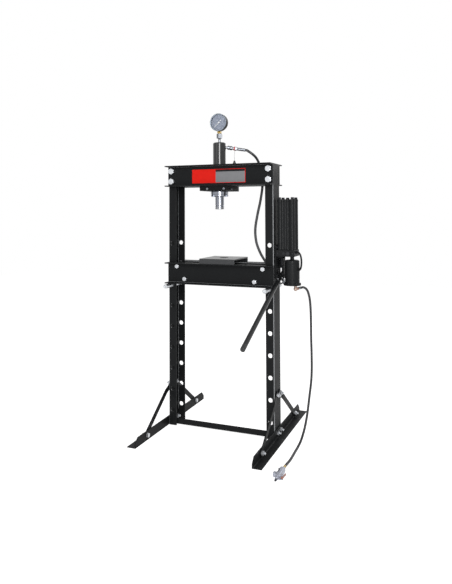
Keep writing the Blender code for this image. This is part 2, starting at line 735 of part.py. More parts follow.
def make_ram(parent):
    """The hollow rod with its piston, the saddle at its tip and the spring that lifts it."""
    at = (RAM_X, 0, 0)
    rod_bottom = RAM_TIP + SADDLE_HEIGHT + SEAT
    piston_top = CYLINDER_TOP - CYLINDER_CAP - 5 * RUNNING
    floor = rod_bottom + 3 * SADDLE_SPIGOT
    socket, socket_top = SADDLE_SPIGOT_D / 2 + SEAT, rod_bottom + SADDLE_SPIGOT + SEAT
    piston = CYLINDER_BORE / 2 - GLAND_CLEARANCE
    ram = turned(
        "Z", BODY_SIDES,
        (0, socket_top), (socket, socket_top), (socket, rod_bottom), (ROD_D / 2, rod_bottom),
        (ROD_D / 2, piston_top - PISTON_HEIGHT), (piston, piston_top - PISTON_HEIGHT),
        (piston, piston_top), (ROD_BORE / 2, piston_top), (ROD_BORE / 2, floor), (0, floor),
    )  # fmt: skip
    place("ram_rod", ram, "chrome", at, parent)
    top = RAM_TIP + SADDLE_HEIGHT
    saddle = turned(
        "Z", BODY_SIDES,
        (0, RAM_TIP), (ROD_D / 2 - 0.001, RAM_TIP), (ROD_D / 2, RAM_TIP + 0.001),
        (ROD_D / 2, top), (SADDLE_SPIGOT_D / 2, top),
        (SADDLE_SPIGOT_D / 2, top + SADDLE_SPIGOT), (0, top + SADDLE_SPIGOT),
    )  # fmt: skip
    place("ram_saddle", saddle, "steel", at, parent)
    low = floor + SPRING_WIRE / 2 + SEAT
    high = CYLINDER_TOP - CYLINDER_CAP - SPRING_WIRE / 2 - SEAT
    steps = 8 * SPRING_TURNS
    coil = []
    for k in range(steps + 1):
        turn = 2 * math.pi * k / 8
        reach = Vector((math.cos(turn), math.sin(turn), 0)) * SPRING_D / 2
        coil.append(Vector((RAM_X, 0, low + (high - low) * k / steps)) + reach)
    tube("return_spring", coil, SPRING_WIRE, "steel", parent, resolution=1)


def make_gauge(parent, needle_parent):
    """The pressure gauge on its riser, facing the operator."""
    at = (RAM_X, 0, 0)
    pipe = rod("Z", RISER_PIPE_D, CYLINDER_TOP + SEAT, COUPLING_BOTTOM + 0.002)
    riser = place("gauge_riser", pipe, "zinc", at, parent)
    across = COUPLING_FLATS / math.cos(math.pi / 6)
    top = COUPLING_BOTTOM + COUPLING_HEIGHT
    combine(riser, "UNION", rod("Z", across, COUPLING_BOTTOM, top, sides=6))
    half = STEM_FLATS / 2
    stem = block((-half, -half, STEM_BOTTOM), (half, half, STEM_BOTTOM + STEM_HEIGHT))
    place("gauge_stem", stem, "brass", at, parent)
    centre = (RAM_X, 0, GAUGE_Z)
    outer, inner, front = GAUGE_D / 2, GAUGE_D / 2 - GAUGE_WALL, -GAUGE_FRONT
    lip = outer - BEZEL_WIDTH
    case = turned(
        "Y", BODY_SIDES,
        (0, GAUGE_BACK), (outer - 0.004, GAUGE_BACK), (outer, GAUGE_BACK - 0.004),
        (outer, front + 0.002), (outer - 0.002, front), (lip, front), (lip, front + GAUGE_WALL),
        (inner, front + GAUGE_WALL), (inner, GAUGE_BACK - GAUGE_WALL), (0, GAUGE_BACK - GAUGE_WALL),
    )  # fmt: skip
    place("gauge_case", case, "black_alloy", centre, parent)
    disc = 2 * (inner - SEAT)
    lens = front + GAUGE_WALL + SEAT
    place("gauge_lens", rod("Y", disc, lens, lens + LENS_WALL, BODY_SIDES), "clear_lens", centre, parent)
    face = front + DIAL_DEPTH
    dial = place(
        "gauge_dial", rod("Y", disc, face, face + DIAL_WALL, BODY_SIDES), "dial_print", centre, parent
    )
    spindle = 0.003
    combine(dial, "DIFFERENCE", hole("Y", spindle + 2 * SEAT, face - 0.01, face + 0.01, (0, 0, 0)))
    right = ((0.0012, -NEEDLE_TAIL), (0.0014, 0), (0.0005, NEEDLE_LENGTH))
    blade = ((-0.0012, -NEEDLE_TAIL), *right, (-0.0005, NEEDLE_LENGTH), (-0.0014, 0))
    needle = place(
        "gauge_needle", prism(blade, "Y", face - 0.004, face - 0.003), "white_paint", centre,
        needle_parent, turn=(0, NEEDLE_ZERO, 0),
    )  # fmt: skip
    hub = shaft("Y", HOLE_SIDES, (0.008, face - 0.005, face - 0.002), (spindle, face - 0.002, face + 0.004))
    combine(needle, "UNION", hub)


def port_way():
    """The direction in which the hose fittings leave the cylinder."""
    turn, dip = math.radians(PORT_TURN), math.radians(PORT_DIP)
    return Vector((math.cos(turn) * math.cos(dip), math.sin(turn) * math.cos(dip), -math.sin(dip)))


def port_point(distance):
    """A point on the fittings' axis, that far out from the cylinder's wall."""
    level = Vector((RAM_X, 0, CYLINDER_TOP - PORT_DROP))
    lean = NIPPLE[0] / 2 * math.tan(math.radians(PORT_DIP)) + SEAT
    return level + port_way() * (CYLINDER_D / 2 + lean + SEAT + distance)


def make_ram_hose(parent, cap_parent):
    """The coupler on the cylinder, its dust cap on a leash, and the hose to the pump."""
    turn = (0, 90 + PORT_DIP, PORT_TURN)
    steps, reach = [], 0.0
    for diameter, length in (NIPPLE, COUPLER, NECK, FERRULE):
        steps.append((diameter, reach, reach + length))
        reach += length
    place("hose_coupler", shaft("Z", SMALL_SIDES, *steps), "zinc", port_point(0), parent, turn)
    inner, outer, width = NECK[0] / 2 + 2 * SEAT, CAP_RING[0] / 2, CAP_RING[1] / 2
    ring = turned(
        "Z", SMALL_SIDES, (inner, -width), (outer, -width), (outer, width), (inner, width), closed=True
    )
    bmesh.ops.rotate(
        ring, verts=ring.verts,
        matrix=Matrix.Rotation(math.radians(PORT_TURN), 3, "Z")
        @ Matrix.Rotation(math.radians(90 + PORT_DIP), 3, "Y"),
    )  # fmt: skip
    cap = place("dust_cap", ring, "red_plastic", port_point(CAP_RING_AT), cap_parent)
    leash = rod("Z", LEASH_D, -CAP_DROP + CAP_HEIGHT / 2, -(inner + outer) / 2, sides=8)
    low = -CAP_DROP
    cone = turned(
        "Z", HOLE_SIDES, (0, low), (CAP_D / 2, low), (CAP_D / 2, low + CAP_HEIGHT / 3),
        (CAP_D / 5, low + CAP_HEIGHT), (0, low + CAP_HEIGHT),
    )  # fmt: skip
    combine(cap, "UNION", leash, cone)
    near = MANIFOLD_DEPTH / 2 + SEAT
    pipe_d, back = OUTLET_PIPE
    low = MANIFOLD_MIDDLE - OUTLET_DROP
    head = rod("Y", OUTLET_D, near, near + OUTLET_REACH, sides=HOLE_SIDES)
    outlet = place("pump_outlet", head, "zinc", (OUTLET_X, 0, MANIFOLD_MIDDLE), parent)
    drop = rod("Z", pipe_d, -OUTLET_DROP, 0, HOLE_SIDES, (0, near + back, 0))
    swivel = rod("Y", SWIVEL[0], near + back / 2, near + SWIVEL[1], HOLE_SIDES, (0, 0, -OUTLET_DROP))
    combine(outlet, "UNION", drop, swivel)
    last = Vector((OUTLET_X, near + SWIVEL[1] + SEAT, low))
    path = hose_path(port_point(reach + SEAT), port_way(), RAM_HOSE_ROUTE, last, (0, 1, 0), RAM_HOSE_D)
    tube("ram_hose", path, RAM_HOSE_D, "hose_rubber", parent)


# ---------------------------------------------------------------- bed
def make_bed(parent, plate_parent):
    """Two channels bolted together through sleeves, and the arbor plate that lies on them."""
    face = FLANGE_FACE + RUNNING
    upper_z = BEAM_HEIGHT - UPPER_BED_BOLT[1]
    places = (("lower", LOWER_BED_BOLT[0], LOWER_BED_BOLT[1]), ("upper", UPPER_BED_BOLT[0], upper_z))
    bolts = [
        (f"bed_bolt_{word}_{height}", side * (WEB_FACE - inset), z)
        for word, side in (("left", -1), ("right", 1))
        for height, inset, z in places
    ]
    for name, side in (("bed_beam_front", -1), ("bed_beam_rear", 1)):
        outline = channel(BEAM_HEIGHT, BEAM_FLANGE, BEAM_WALL, side)
        at = (0, side * face, BED_BOTTOM + BEAM_HEIGHT / 2)
        beam = place(name, prism(outline, "X", -WEB_FACE, WEB_FACE), "black_paint", at, parent)
        wide = BED_BOLT_D + 2 * SEAT
        holes = [
            hole("Y", wide, -2 * BEAM_WALL, 2 * BEAM_WALL, (x, 0, z - BEAM_HEIGHT / 2))
            for _, x, z in bolts
        ]
        combine(beam, "DIFFERENCE", gathered(*holes))
    reach = face + BEAM_WALL
    sleeve = (BED_SLEEVE_D, SEAT - face, face - SEAT)
    for name, x, z in bolts:
        through_bolt(name, BED_BOLT_D, "Y", -reach, reach, (x, 0, BED_BOTTOM + z), parent, sleeve)
    half, height, wall = PLATE_DEPTH / 2, PLATE_HEIGHT, PLATE_WALL
    outline = (
        (-half, 0), (wall - half, 0), (wall - half, height - wall), (half - wall, height - wall),
        (half - wall, 0), (half, 0), (half, height), (-half, height),
    )  # fmt: skip
    plate = place(
        "arbor_plate", prism(outline, "X", -PLATE_WIDTH / 2, PLATE_WIDTH / 2), "steel",
        (PLATE_X, 0, BED_TOP + SEAT), plate_parent,
    )  # fmt: skip
    combine(plate, "DIFFERENCE", rod("Z", PLATE_HOLE_D, height / 2, height * 1.5, sides=24))


def make_bed_pin(name, x, parent):
    """A pin through both flanges of an upright, under both beams of the bed."""
    front, rear, chamfer = -FLANGE_FACE - BED_PIN_FRONT, FLANGE_FACE + BED_PIN_REAR, 0.002
    radius = BED_PIN_D / 2
    pin = turned(
        "Y", HOLE_SIDES, (0, front), (radius - chamfer, front), (radius, front + chamfer),
        (radius, rear - chamfer), (radius - chamfer, rear), (0, rear),
    )  # fmt: skip
    place(name, pin, "zinc", (x, 0, PIN_Z), parent)


# ---------------------------------------------------------------- pump
def make_bracket(parent):
    """The bracket on the right upright, with the shelf and ear that carry the fulcrum."""
    half, low = BRACKET_DEPTH / 2, BRACKET_BOTTOM
    plate = block((0, -half, low), (BRACKET_WALL, half, BRACKET_TOP))
    bracket = place("pump_bracket", plate, "black_paint", (BRACKET_X, 0, 0), parent)
    start, ear = BRACKET_WALL / 2, EAR_X - BRACKET_X
    top, out = MANIFOLD_Z - SEAT, ear + EAR_WALL
    under = top - SHELF_WALL
    outline = ((start, under), (ear, under), (ear, low), (out, low), (out, top), (start, top))
    combine(bracket, "UNION", prism(outline, "Y", -EAR_DEPTH * 0.6, EAR_DEPTH * 0.4))
    wide = FULCRUM_PIN_D + 2 * SEAT
    combine(bracket, "DIFFERENCE", hole("X", wide, 0.0007, 2 * ear, (0, 0, FULCRUM[2])))
    pin_end = out + SEAT
    head = (FULCRUM_HEAD[0], pin_end, pin_end + FULCRUM_HEAD[1])
    pin = shaft("X", HOLE_SIDES, (FULCRUM_PIN_D, 0.001, pin_end), head)
    place("fulcrum_pin", pin, "zinc", (BRACKET_X, 0, FULCRUM[2]), parent)


def tank_outline():
    """The oil tank's outline: four flat sides between four round lobes."""
    dip = math.acos((TANK_HALF - LOBE_AT) / LOBE_R)
    points = []
    for corner in range(4):
        middle = math.pi / 4 + corner * math.pi / 2
        centre = Vector((math.cos(middle), math.sin(middle))) * LOBE_AT * math.sqrt(2)
        start, end = corner * math.pi / 2 - dip, (corner + 1) * math.pi / 2 + dip
        for step in range(8):
            angle = start + (end - start) * step / 7
            points.append(centre + Vector((math.cos(angle), math.sin(angle))) * LOBE_R)
    return [tuple(point) for point in points]


def make_pump_body(parent, knob_parent):
    """The manifold, the oil tank with its lid, the air motor and their pipe."""
    half, top = MANIFOLD_DEPTH / 2, MANIFOLD_Z + MANIFOLD_HEIGHT
    manifold = place(
        "manifold", block((MANIFOLD_X, -half, MANIFOLD_Z), (MANIFOLD_RIGHT, half, top)), "black_alloy",
        (0, 0, 0), parent,
    )  # fmt: skip
    stem_d, stem = KNOB_STEM
    x, z = KNOB_X, MANIFOLD_MIDDLE
    cut = hole("Y", stem_d + 2 * SEAT, -half - 0.01, stem - half + SEAT, (x, 0, z))
    combine(manifold, "DIFFERENCE", cut)
    front = -half - SEAT
    knob = shaft("Y", HOLE_SIDES, (KNOB_D, front - KNOB_LENGTH, front), (stem_d, front, front + stem))
    place("release_knob", knob, "zinc", (x, 0, z), knob_parent)
    tank = place(
        "oil_tank", prism(tank_outline(), "Z", TANK_BOTTOM, TANK_BOTTOM + TANK_HEIGHT), "black_alloy",
        (TANK_X, 0, 0), parent,
    )  # fmt: skip
    well = rod("Z", TANK_BORE, TANK_BOTTOM + TANK_FLOOR, TANK_BOTTOM + TANK_HEIGHT + 0.01)
    combine(tank, "DIFFERENCE", well)
    lid = place(
        "tank_lid", prism(tank_outline(), "Z", LID_BOTTOM, LID_BOTTOM + LID_THICK), "black_alloy",
        (TANK_X, 0, 0), parent,
    )  # fmt: skip
    boss_d, boss = LID_BOSS
    boss_top = LID_BOTTOM + LID_THICK + boss
    combine(lid, "UNION", rod("Z", boss_d, LID_BOTTOM + LID_THICK / 2, boss_top, sides=HOLE_SIDES))
    flange_d, flange = MOTOR_FLANGE
    shoulder = MANIFOLD_Z - MOTOR_NECK
    motor = turned(
        "Z", BODY_SIDES,
        (0, MOTOR_BOTTOM), (flange_d / 2, MOTOR_BOTTOM), (flange_d / 2, MOTOR_BOTTOM + flange),
        (MOTOR_D / 2, MOTOR_BOTTOM + flange), (MOTOR_D / 2, shoulder - MOTOR_CHAMFER),
        (MOTOR_D / 2 - MOTOR_CHAMFER, shoulder), (MOTOR_NECK_D / 2, shoulder),
        (MOTOR_NECK_D / 2, MANIFOLD_Z - SEAT), (0, MANIFOLD_Z - SEAT),
    )  # fmt: skip
    place("air_motor", motor, "black_alloy", (MOTOR_X, 0, 0), parent)
    start = Vector((MANIFOLD_RIGHT + SEAT, PIPE_Y, MANIFOLD_Z + PIPE_RISE))
    wall = MOTOR_X + math.sqrt((MOTOR_D / 2) ** 2 - (PIPE_Y + PIPE_D / 2) ** 2)
    end = Vector((wall + SEAT, PIPE_Y, MANIFOLD_Z - PIPE_DROP))
    route = [Vector((WEB_FACE, 0, MANIFOLD_Z)) + Vector(point) for point in PIPE_ROUTE]
    path = hose_path(start, (1, 0, 0), route, end, (1, 0, 0), PIPE_D)
    tube("transfer_pipe", path, PIPE_D, "black_paint", parent)


def make_hand_pump(parent, handle_parent, plunger_parent):
    """The barrel and plunger under the manifold, and the lever with its long bar."""
    x = FULCRUM[0]
    y = CAM_ARM * math.cos(HANDLE_TILT)
    tip = FULCRUM[2] + CAM_ARM * math.sin(HANDLE_TILT) + CAM_D / 2 + SEAT
    bore = PLUNGER_D / 2 + SEAT
    outer, top = BARREL_D / 2, MANIFOLD_Z - SEAT
    barrel = turned(
        "Z", SMALL_SIDES, (0, top), (outer, top), (outer, BARREL_BOTTOM), (bore, BARREL_BOTTOM),
        (bore, BARREL_BOTTOM + BARREL_BORE), (0, BARREL_BOTTOM + BARREL_BORE),
    )  # fmt: skip
    place("pump_barrel", barrel, "black_alloy", (x, y, 0), parent)
    plunger = rod("Z", PLUNGER_D, tip, tip + PLUNGER_LENGTH)
    place("pump_plunger", plunger, "chrome", (x, y, 0), plunger_parent)
    turn = (HANDLE_DROP, 0, 0)
    left, right = BRACKET_X + BRACKET_WALL + SEAT - x, SOCKET_D / 2
    lever = place("pump_lever", rod("X", BOSS_D, left, right), "black_paint", FULCRUM, handle_parent, turn)
    socket = rod("Y", SOCKET_D, -SOCKET_LENGTH, 0)
    cam = rod("X", CAM_D, -right / 2, right / 2, middle=(0, CAM_ARM, 0))
    arm = block((-right / 2, 0, -CAM_D / 3), (right / 2, CAM_ARM, CAM_D / 3))
    combine(lever, "UNION", socket, arm, cam)
    cuts = (
        rod("Y", HANDLE_D + 2 * SEAT, -2 * SOCKET_LENGTH, SEAT - HANDLE_START),
        rod("X", FULCRUM_PIN_D + 2 * SEAT, -BOSS_D, BOSS_D),
    )
    combine(lever, "DIFFERENCE", *cuts)
    chamfer, radius = 0.0015, HANDLE_D / 2
    bar = turned(
        "Y", SMALL_SIDES, (0, -HANDLE_END), (radius - chamfer, -HANDLE_END),
        (radius, chamfer - HANDLE_END), (radius, -HANDLE_START), (0, -HANDLE_START),
    )  # fmt: skip
    place("handle_bar", bar, "black_paint", FULCRUM, handle_parent, turn)


# ---------------------------------------------------------------- air line
def make_air_line(parent, lever_parent):
    """The elbow under the air motor, the hose from it and the hand valve on its end."""
    rise = math.radians(ELBOW_RISE)
    way = Vector((math.cos(rise), 0, math.sin(rise)))
    ball = bmesh.new()
    bmesh.ops.create_uvsphere(ball, u_segments=12, v_segments=8, radius=ELBOW_BALL_D / 2)
    elbow = place("air_elbow", ball, "brass", ELBOW, parent)
    stem = rod("Z", ELBOW_STEM_D, 0, MOTOR_BOTTOM - SEAT - ELBOW[2], sides=HOLE_SIDES)
    spout = rod("Z", ELBOW_SPOUT_D, 0, ELBOW_SPOUT, sides=HOLE_SIDES)
    bmesh.ops.rotate(spout, verts=spout.verts, matrix=Matrix.Rotation(math.pi / 2 - rise, 3, "Y"))
    combine(elbow, "UNION", stem, spout)
    start = Vector(ELBOW) + way * (ELBOW_SPOUT + SEAT)
    axis = VALVE_SIDE / 2
    end = Vector((VALVE_X, VALVE_Y, axis))
    path = hose_path(start, way, AIR_HOSE_ROUTE, end, (0, 1, 0), AIR_HOSE_D)
    tube("air_hose", path, AIR_HOSE_D, "hose_rubber", parent)

    steps, reach = [], SEAT
    for diameter, length in (VALVE_FERRULE, (VALVE_SIDE * 0.8, VALVE_LENGTH), VALVE_NOZZLE, VALVE_TIP):
        steps.append((diameter, -reach - length, -reach))
        reach += length
    core = shaft("Y", SMALL_SIDES, *reversed(steps))
    valve = place("air_valve", core, "zinc", end, parent)
    body_start = -SEAT - VALVE_FERRULE[1]
    body = block((-axis, body_start - VALVE_LENGTH, -axis), (axis, body_start, axis))
    boss_d, boss = VALVE_BOSS
    side = rod("X", boss_d, -axis - boss, 0, middle=(0, VALVE_BOSS_Y - VALVE_Y, 0))
    pivot = Vector((LEVER_PIVOT[0] - VALVE_X, LEVER_PIVOT[1] - VALVE_Y, 0))
    lug_r = LEVER_BOSS_D / 2
    lug = block((0, pivot.y - lug_r, -axis), (pivot.x + lug_r, pivot.y + lug_r, axis))
    combine(valve, "UNION", body, side, lug)
    gap = LEVER_HEIGHT / 2 + SEAT
    slot = block((axis + SEAT, pivot.y - 2 * lug_r, -gap), (pivot.x + 2 * lug_r, pivot.y + 3 * lug_r, gap))
    pin_d, pin = LEVER_PIN
    pocket = hole("Z", pin_d + 2 * SEAT, -pin - SEAT, pin + SEAT, (pivot.x, pivot.y, 0))
    combine(valve, "DIFFERENCE", slot, pocket)

    half = LEVER_HEIGHT / 2
    stages = ((pin_d, -pin, -half), (LEVER_BOSS_D, -half, half), (pin_d, half, pin))
    boss = shaft("Z", HOLE_SIDES, *stages)
    at = (*LEVER_PIVOT, axis)
    lever = place("air_valve_lever", boss, "red_plastic", at, lever_parent, (0, 0, -LEVER_SPLAY))
    paddle = block((lug_r - LEVER_WALL, 0, -half), (lug_r, LEVER_LENGTH, half))
    combine(lever, "UNION", paddle)


# ---------------------------------------------------------------- assembly
def build():
    """Makes every piece, each moving one under an empty on its joint's axis."""
    clear_scene()
    press = empty("press", ORIGIN)
    ram = empty("ram_axis", (RAM_X, 0, RAM_TIP), press)
    bed = empty("bed_rest", (0, 0, BED_BOTTOM), press)
    plate = empty("plate_rest", (PLATE_X, 0, BED_TOP), bed)
    needle = empty("needle_axis", (RAM_X, 0, GAUGE_Z), press)
    cap = empty("cap_axis", port_point(CAP_RING_AT), press)
    knob = empty("knob_axis", (KNOB_X, -MANIFOLD_DEPTH / 2, MANIFOLD_MIDDLE), press)
    handle = empty("fulcrum", FULCRUM, press)
    plunger = empty("plunger_axis", (FULCRUM[0], CAM_ARM * math.cos(HANDLE_TILT), BARREL_BOTTOM), press)
    valve_lever = empty("valve_lever_axis", (*LEVER_PIVOT, VALVE_SIDE / 2), press)
    make_frame(press)
    make_cylinder(press)
    make_ram(ram)
    make_gauge(press, needle)
    make_ram_hose(press, cap)
    make_bed(bed, plate)
    for word, x in (("left", -PIN_X), ("right", PIN_X)):
        make_bed_pin(f"bed_pin_{word}", x, empty(f"pin_axis_{word}", (x, 0, PIN_Z), press))
    make_bracket(press)
    make_pump_body(press, knob)
    make_hand_pump(press, handle, plunger)
    make_air_line(press, valve_lever)
    bpy.context.view_layer.update()


build()
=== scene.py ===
"""Visual model of a hydraulic shop press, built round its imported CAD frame.

Each sub-assembly is a class. Its sizes are its fields, in metres, and its places come from
the boxes of the CAD nodes that it stands for. +X points to the pump's side, +Y away from
the operator and +Z up.
"""

import json
import logging
import math
from collections.abc import Iterable, Sequence
from dataclasses import dataclass
from enum import Enum

import bmesh
import bpy
from mathutils import Matrix, Vector


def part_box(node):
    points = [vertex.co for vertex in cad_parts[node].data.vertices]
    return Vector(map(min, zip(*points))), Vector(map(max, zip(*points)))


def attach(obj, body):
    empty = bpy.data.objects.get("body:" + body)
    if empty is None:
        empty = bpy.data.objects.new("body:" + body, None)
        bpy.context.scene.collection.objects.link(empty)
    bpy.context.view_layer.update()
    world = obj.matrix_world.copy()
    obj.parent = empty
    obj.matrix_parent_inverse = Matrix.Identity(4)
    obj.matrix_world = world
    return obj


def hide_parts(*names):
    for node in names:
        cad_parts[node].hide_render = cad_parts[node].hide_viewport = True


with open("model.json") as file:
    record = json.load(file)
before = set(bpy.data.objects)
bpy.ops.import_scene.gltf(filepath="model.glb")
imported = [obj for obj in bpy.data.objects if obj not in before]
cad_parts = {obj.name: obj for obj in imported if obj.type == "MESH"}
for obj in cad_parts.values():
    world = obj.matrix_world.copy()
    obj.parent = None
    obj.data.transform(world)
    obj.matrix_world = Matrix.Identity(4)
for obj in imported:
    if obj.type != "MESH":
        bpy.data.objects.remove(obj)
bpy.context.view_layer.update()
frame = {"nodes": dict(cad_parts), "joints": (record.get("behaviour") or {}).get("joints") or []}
LOG = logging.getLogger("press")
SEAT = 0.0003  # the gap between two pieces that touch
Point = Sequence[float]
Tree = bpy.types.NodeTree
Socket = bpy.types.NodeSocket
Piece = bpy.types.Object
Outline = list[tuple[float, float]]


# ---------------------------------------------------------------- finishes
def linear(code: str) -> tuple[float, float, float, float]:
    """Turns an sRGB hex code into a linear colour.

    Args:
        code: six hex digits, such as "1c1d1f".

    Returns:
        Red, green, blue and an alpha of 1.
    """
    parts = [int(code[k : k + 2], 16) / 255 for k in (0, 2, 4)]
    return (*(p / 12.92 if p < 0.04045 else ((p + 0.055) / 1.055) ** 2.4 for p in parts), 1.0)


def add_node(tree: Tree, kind: str, inputs: dict | None = None, **settings: object) -> bpy.types.Node:
    """Adds a node with its settings and links.

    Args:
        tree: the material's or the world's node tree.
        kind: the node's type.
        inputs: a value or another node's output for each input, by name or number.
        settings: the node's own properties.

    Returns:
        The new node.
    """
    node = tree.nodes.new(kind)
    for key, value in settings.items():
        setattr(node, key, value)
    for key, value in (inputs or {}).items():
        if isinstance(value, Socket):
            tree.links.new(value, node.inputs[key])
        else:
            node.inputs[key].default_value = value
    return node


def maths(tree: Tree, operation: str, *values: Socket | float) -> Socket:
    """The result of a maths node on some values."""
    inputs = dict(enumerate(values))
    return add_node(tree, "ShaderNodeMath", inputs, operation=operation).outputs["Value"]


def cleared(block: bpy.types.ID) -> Tree:
    """The empty node tree of a new material or world."""
    block.use_nodes = True
    block.node_tree.nodes.clear()
    return block.node_tree


def per_mm(size: float) -> float:
    """A texture scale whose pattern repeats about every size millimetres."""
    return 1000.0 / size


@dataclass(frozen=True)
class Finish:
    """A surface finish: two close tones in soft blotches, and a fine grain in its relief."""

    name: str
    tone: str
    shade: str
    slot: str  # the kind of material that the finish stands for
    metallic: float = 0.0
    roughness: float = 0.4
    specular: float = 0.5
    blotch: float = 40.0  # mm
    grain: float = 1.5  # mm
    relief: float = 0.02  # mm
    spread: float = 0.06  # how far the roughness wanders
    coat: float = 0.0
    coat_roughness: float = 0.12

    def relief_height(self, tree: Tree, coordinates: Socket) -> Socket:
        """The height that the relief follows, from 0 to 1.

        Args:
            tree: the material's node tree.
            coordinates: the object's own coordinates, in metres.

        Returns:
            The output that holds the height.
        """
        inputs = {"Vector": coordinates, "Scale": per_mm(self.grain), "Detail": 3.0}
        return add_node(tree, "ShaderNodeTexNoise", inputs).outputs["Fac"]

    def tone_share(self, tree: Tree, coordinates: Socket) -> Socket:
        """How much of the second tone shows, from 0 to 1.

        Args:
            tree: the material's node tree.
            coordinates: the object's own coordinates, in metres.

        Returns:
            The output that holds the share.
        """
        inputs = {"Vector": coordinates, "Scale": per_mm(self.blotch), "Detail": 5.0, "Roughness": 0.6}
        return add_node(tree, "ShaderNodeTexNoise", inputs).outputs["Fac"]

    def highlighted(self, tree: Tree, colour: Socket) -> Socket:
        """The colour with painted highlights added. A plain finish has none."""
        return colour

    def material(self) -> bpy.types.Material:
        """The finish as a material, made once."""
        found = bpy.data.materials.get(self.name)
        if found:
            return found
        made = bpy.data.materials.new(self.name)
        tree = cleared(made)
        place = add_node(tree, "ShaderNodeTexCoord").outputs["Object"]
        shader = add_node(tree, "ShaderNodeBsdfPrincipled", self.surface(tree, place))
        add_node(tree, "ShaderNodeOutputMaterial", {"Surface": shader.outputs["BSDF"]})
        return made

    def surface(self, tree: Tree, place: Socket) -> dict[str, object]:
        """The shader's inputs.

        Args:
            tree: the material's node tree.
            place: the object's own coordinates, in metres.

        Returns:
            A value or another node's output for each input, by name.
        """
        share = self.tone_share(tree, place)
        tones = {"Factor": share, 6: linear(self.tone), 7: linear(self.shade)}
        colours = add_node(tree, "ShaderNodeMix", tones, data_type="RGBA")
        low, high = self.roughness - self.spread, self.roughness + self.spread
        rough = {"Value": share, "To Min": low, "To Max": high}
        roughness = add_node(tree, "ShaderNodeMapRange", rough).outputs["Result"]
        height = self.relief_height(tree, place)
        bump = {"Height": height, "Strength": 1.0, "Distance": self.relief / 1000}
        normal = add_node(tree, "ShaderNodeBump", bump).outputs["Normal"]
        return {
            # the colour, with any painted highlights that the finish adds
            "Base Color": self.highlighted(tree, colours.outputs[2]),
            "Metallic": self.metallic,
            "Roughness": roughness,
            "Specular IOR Level": self.specular,
            "Coat Weight": self.coat,
            "Coat Roughness": self.coat_roughness,
            "Normal": normal,
        }


@dataclass(frozen=True)
class BendHighlightFinish(Finish):
    """A paint with a lighter grey painted along its rounded bends: a painted highlight line on each bend.
    """

    # the lighter grey of the painted highlight along the bends
    highlight_tone: str = "a4a6a8"
    highlight_share: float = 0.7  # how much of the painted highlight tone shows in the middle of a bend

    def highlighted(self, tree: Tree, colour: Socket) -> Socket:
        """The colour with a painted highlight, a lighter grey, where a face lies on none of the part's
        axes.
        """
        facing = add_node(tree, "ShaderNodeTexCoord").outputs["Normal"]
        parts = add_node(tree, "ShaderNodeSeparateXYZ", {"Vector": facing}).outputs
        sizes = [maths(tree, "ABSOLUTE", parts[k]) for k in range(3)]
        most = maths(tree, "MAXIMUM", maths(tree, "MAXIMUM", sizes[0], sizes[1]), sizes[2])
        ramp = {"Value": most, "From Min": 0.97, "From Max": 0.78, "To Min": 0.0, "To Max": self.highlight_share}
        share = add_node(tree, "ShaderNodeMapRange", ramp).outputs["Result"]
        tones = {"Factor": share, 6: colour, 7: linear(self.highlight_tone)}
        return add_node(tree, "ShaderNodeMix", tones, data_type="RGBA").outputs[2]


@dataclass(frozen=True)
class TurnedFinish(Finish):
    """A metal turned on a lathe: the tool's fine rings run round the local Z axis."""

    ring: float = 0.8  # mm

    def relief_height(self, tree: Tree, coordinates: Socket) -> Socket:
        """The tool's rings as a height."""
        inputs = {"Vector": coordinates, "Scale": per_mm(self.ring) / (2 * math.pi), "Distortion": 0.4}
        wave = add_node(tree, "ShaderNodeTexWave", inputs, wave_type="BANDS", bands_direction="Z")
        return wave.outputs["Fac"]


@dataclass(frozen=True)
class BraidFinish(Finish):
    """A braid laid over a hose: two sets of strands cross at 45 degrees along the UV map.

    The UV map holds the arc round the hose and the length along it, in metres.
    """

    strand: float = 2.4  # mm

    def crossing(self, tree: Tree) -> Socket:
        """The strands' height: the two sets multiplied."""
        laid = add_node(tree, "ShaderNodeUVMap", uv_map="lay").outputs["UV"]
        sets = []
        for turn in (math.radians(45), math.radians(-45)):
            turned = {"Vector": laid, "Rotation": (0.0, 0.0, turn)}
            across = add_node(tree, "ShaderNodeMapping", turned).outputs["Vector"]
            inputs = {"Vector": across, "Scale": per_mm(self.strand) / (2 * math.pi)}
            sets.append(add_node(tree, "ShaderNodeTexWave", inputs, bands_direction="X").outputs["Fac"])
        return maths(tree, "MULTIPLY", *sets)

    def relief_height(self, tree: Tree, coordinates: Socket) -> Socket:
        """The braid's strands as a height."""
        return self.crossing(tree)

    def tone_share(self, tree: Tree, coordinates: Socket) -> Socket:
        """The second tone shows on top of the strands."""
        return self.crossing(tree)


@dataclass(frozen=True)
class ClearFinish(Finish):
    """A clear window: a thin sheet that light passes straight through, with a glossy face."""

    alpha: float = 0.1  # how much of the sheet's own tone shows

    def surface(self, tree: Tree, place: Socket) -> dict[str, object]:
        """The shader's inputs: one tone, a faint alpha, and dust in the roughness."""
        dust = self.tone_share(tree, place)
        rough = {"Value": dust, "To Min": self.roughness, "To Max": self.roughness + self.spread}
        roughness = add_node(tree, "ShaderNodeMapRange", rough).outputs["Result"]
        return {"Base Color": linear(self.tone), "Roughness": roughness, "Alpha": self.alpha}


# Alkyd enamel sprayed on rolled steel: black, half glossy, with a faint orange peel.
ENAMEL = Finish(
    "sprayed_black_enamel", "131415", "18191a", "black_paint", 0, 0.55, 0.05, 90, 3.5, 0.012, coat=0.06
)
# The enamel on channels, with a lighter grey painted along their bends as thin highlight lines.
CHANNEL_ENAMEL = BendHighlightFinish(
    "black_enamel_painted_bend_highlights", "131415", "18191a", "black_paint", 0, 0.55, 0.05, 90, 3.5, 0.012, coat=0.06
)
# A glossier coat of enamel on the pump's handle and lever.
GLOSS_ENAMEL = Finish("gloss_black_enamel", "131415", "18191a", "black_paint", 0, 0.3, 0.3, 60, 2, 0.006)
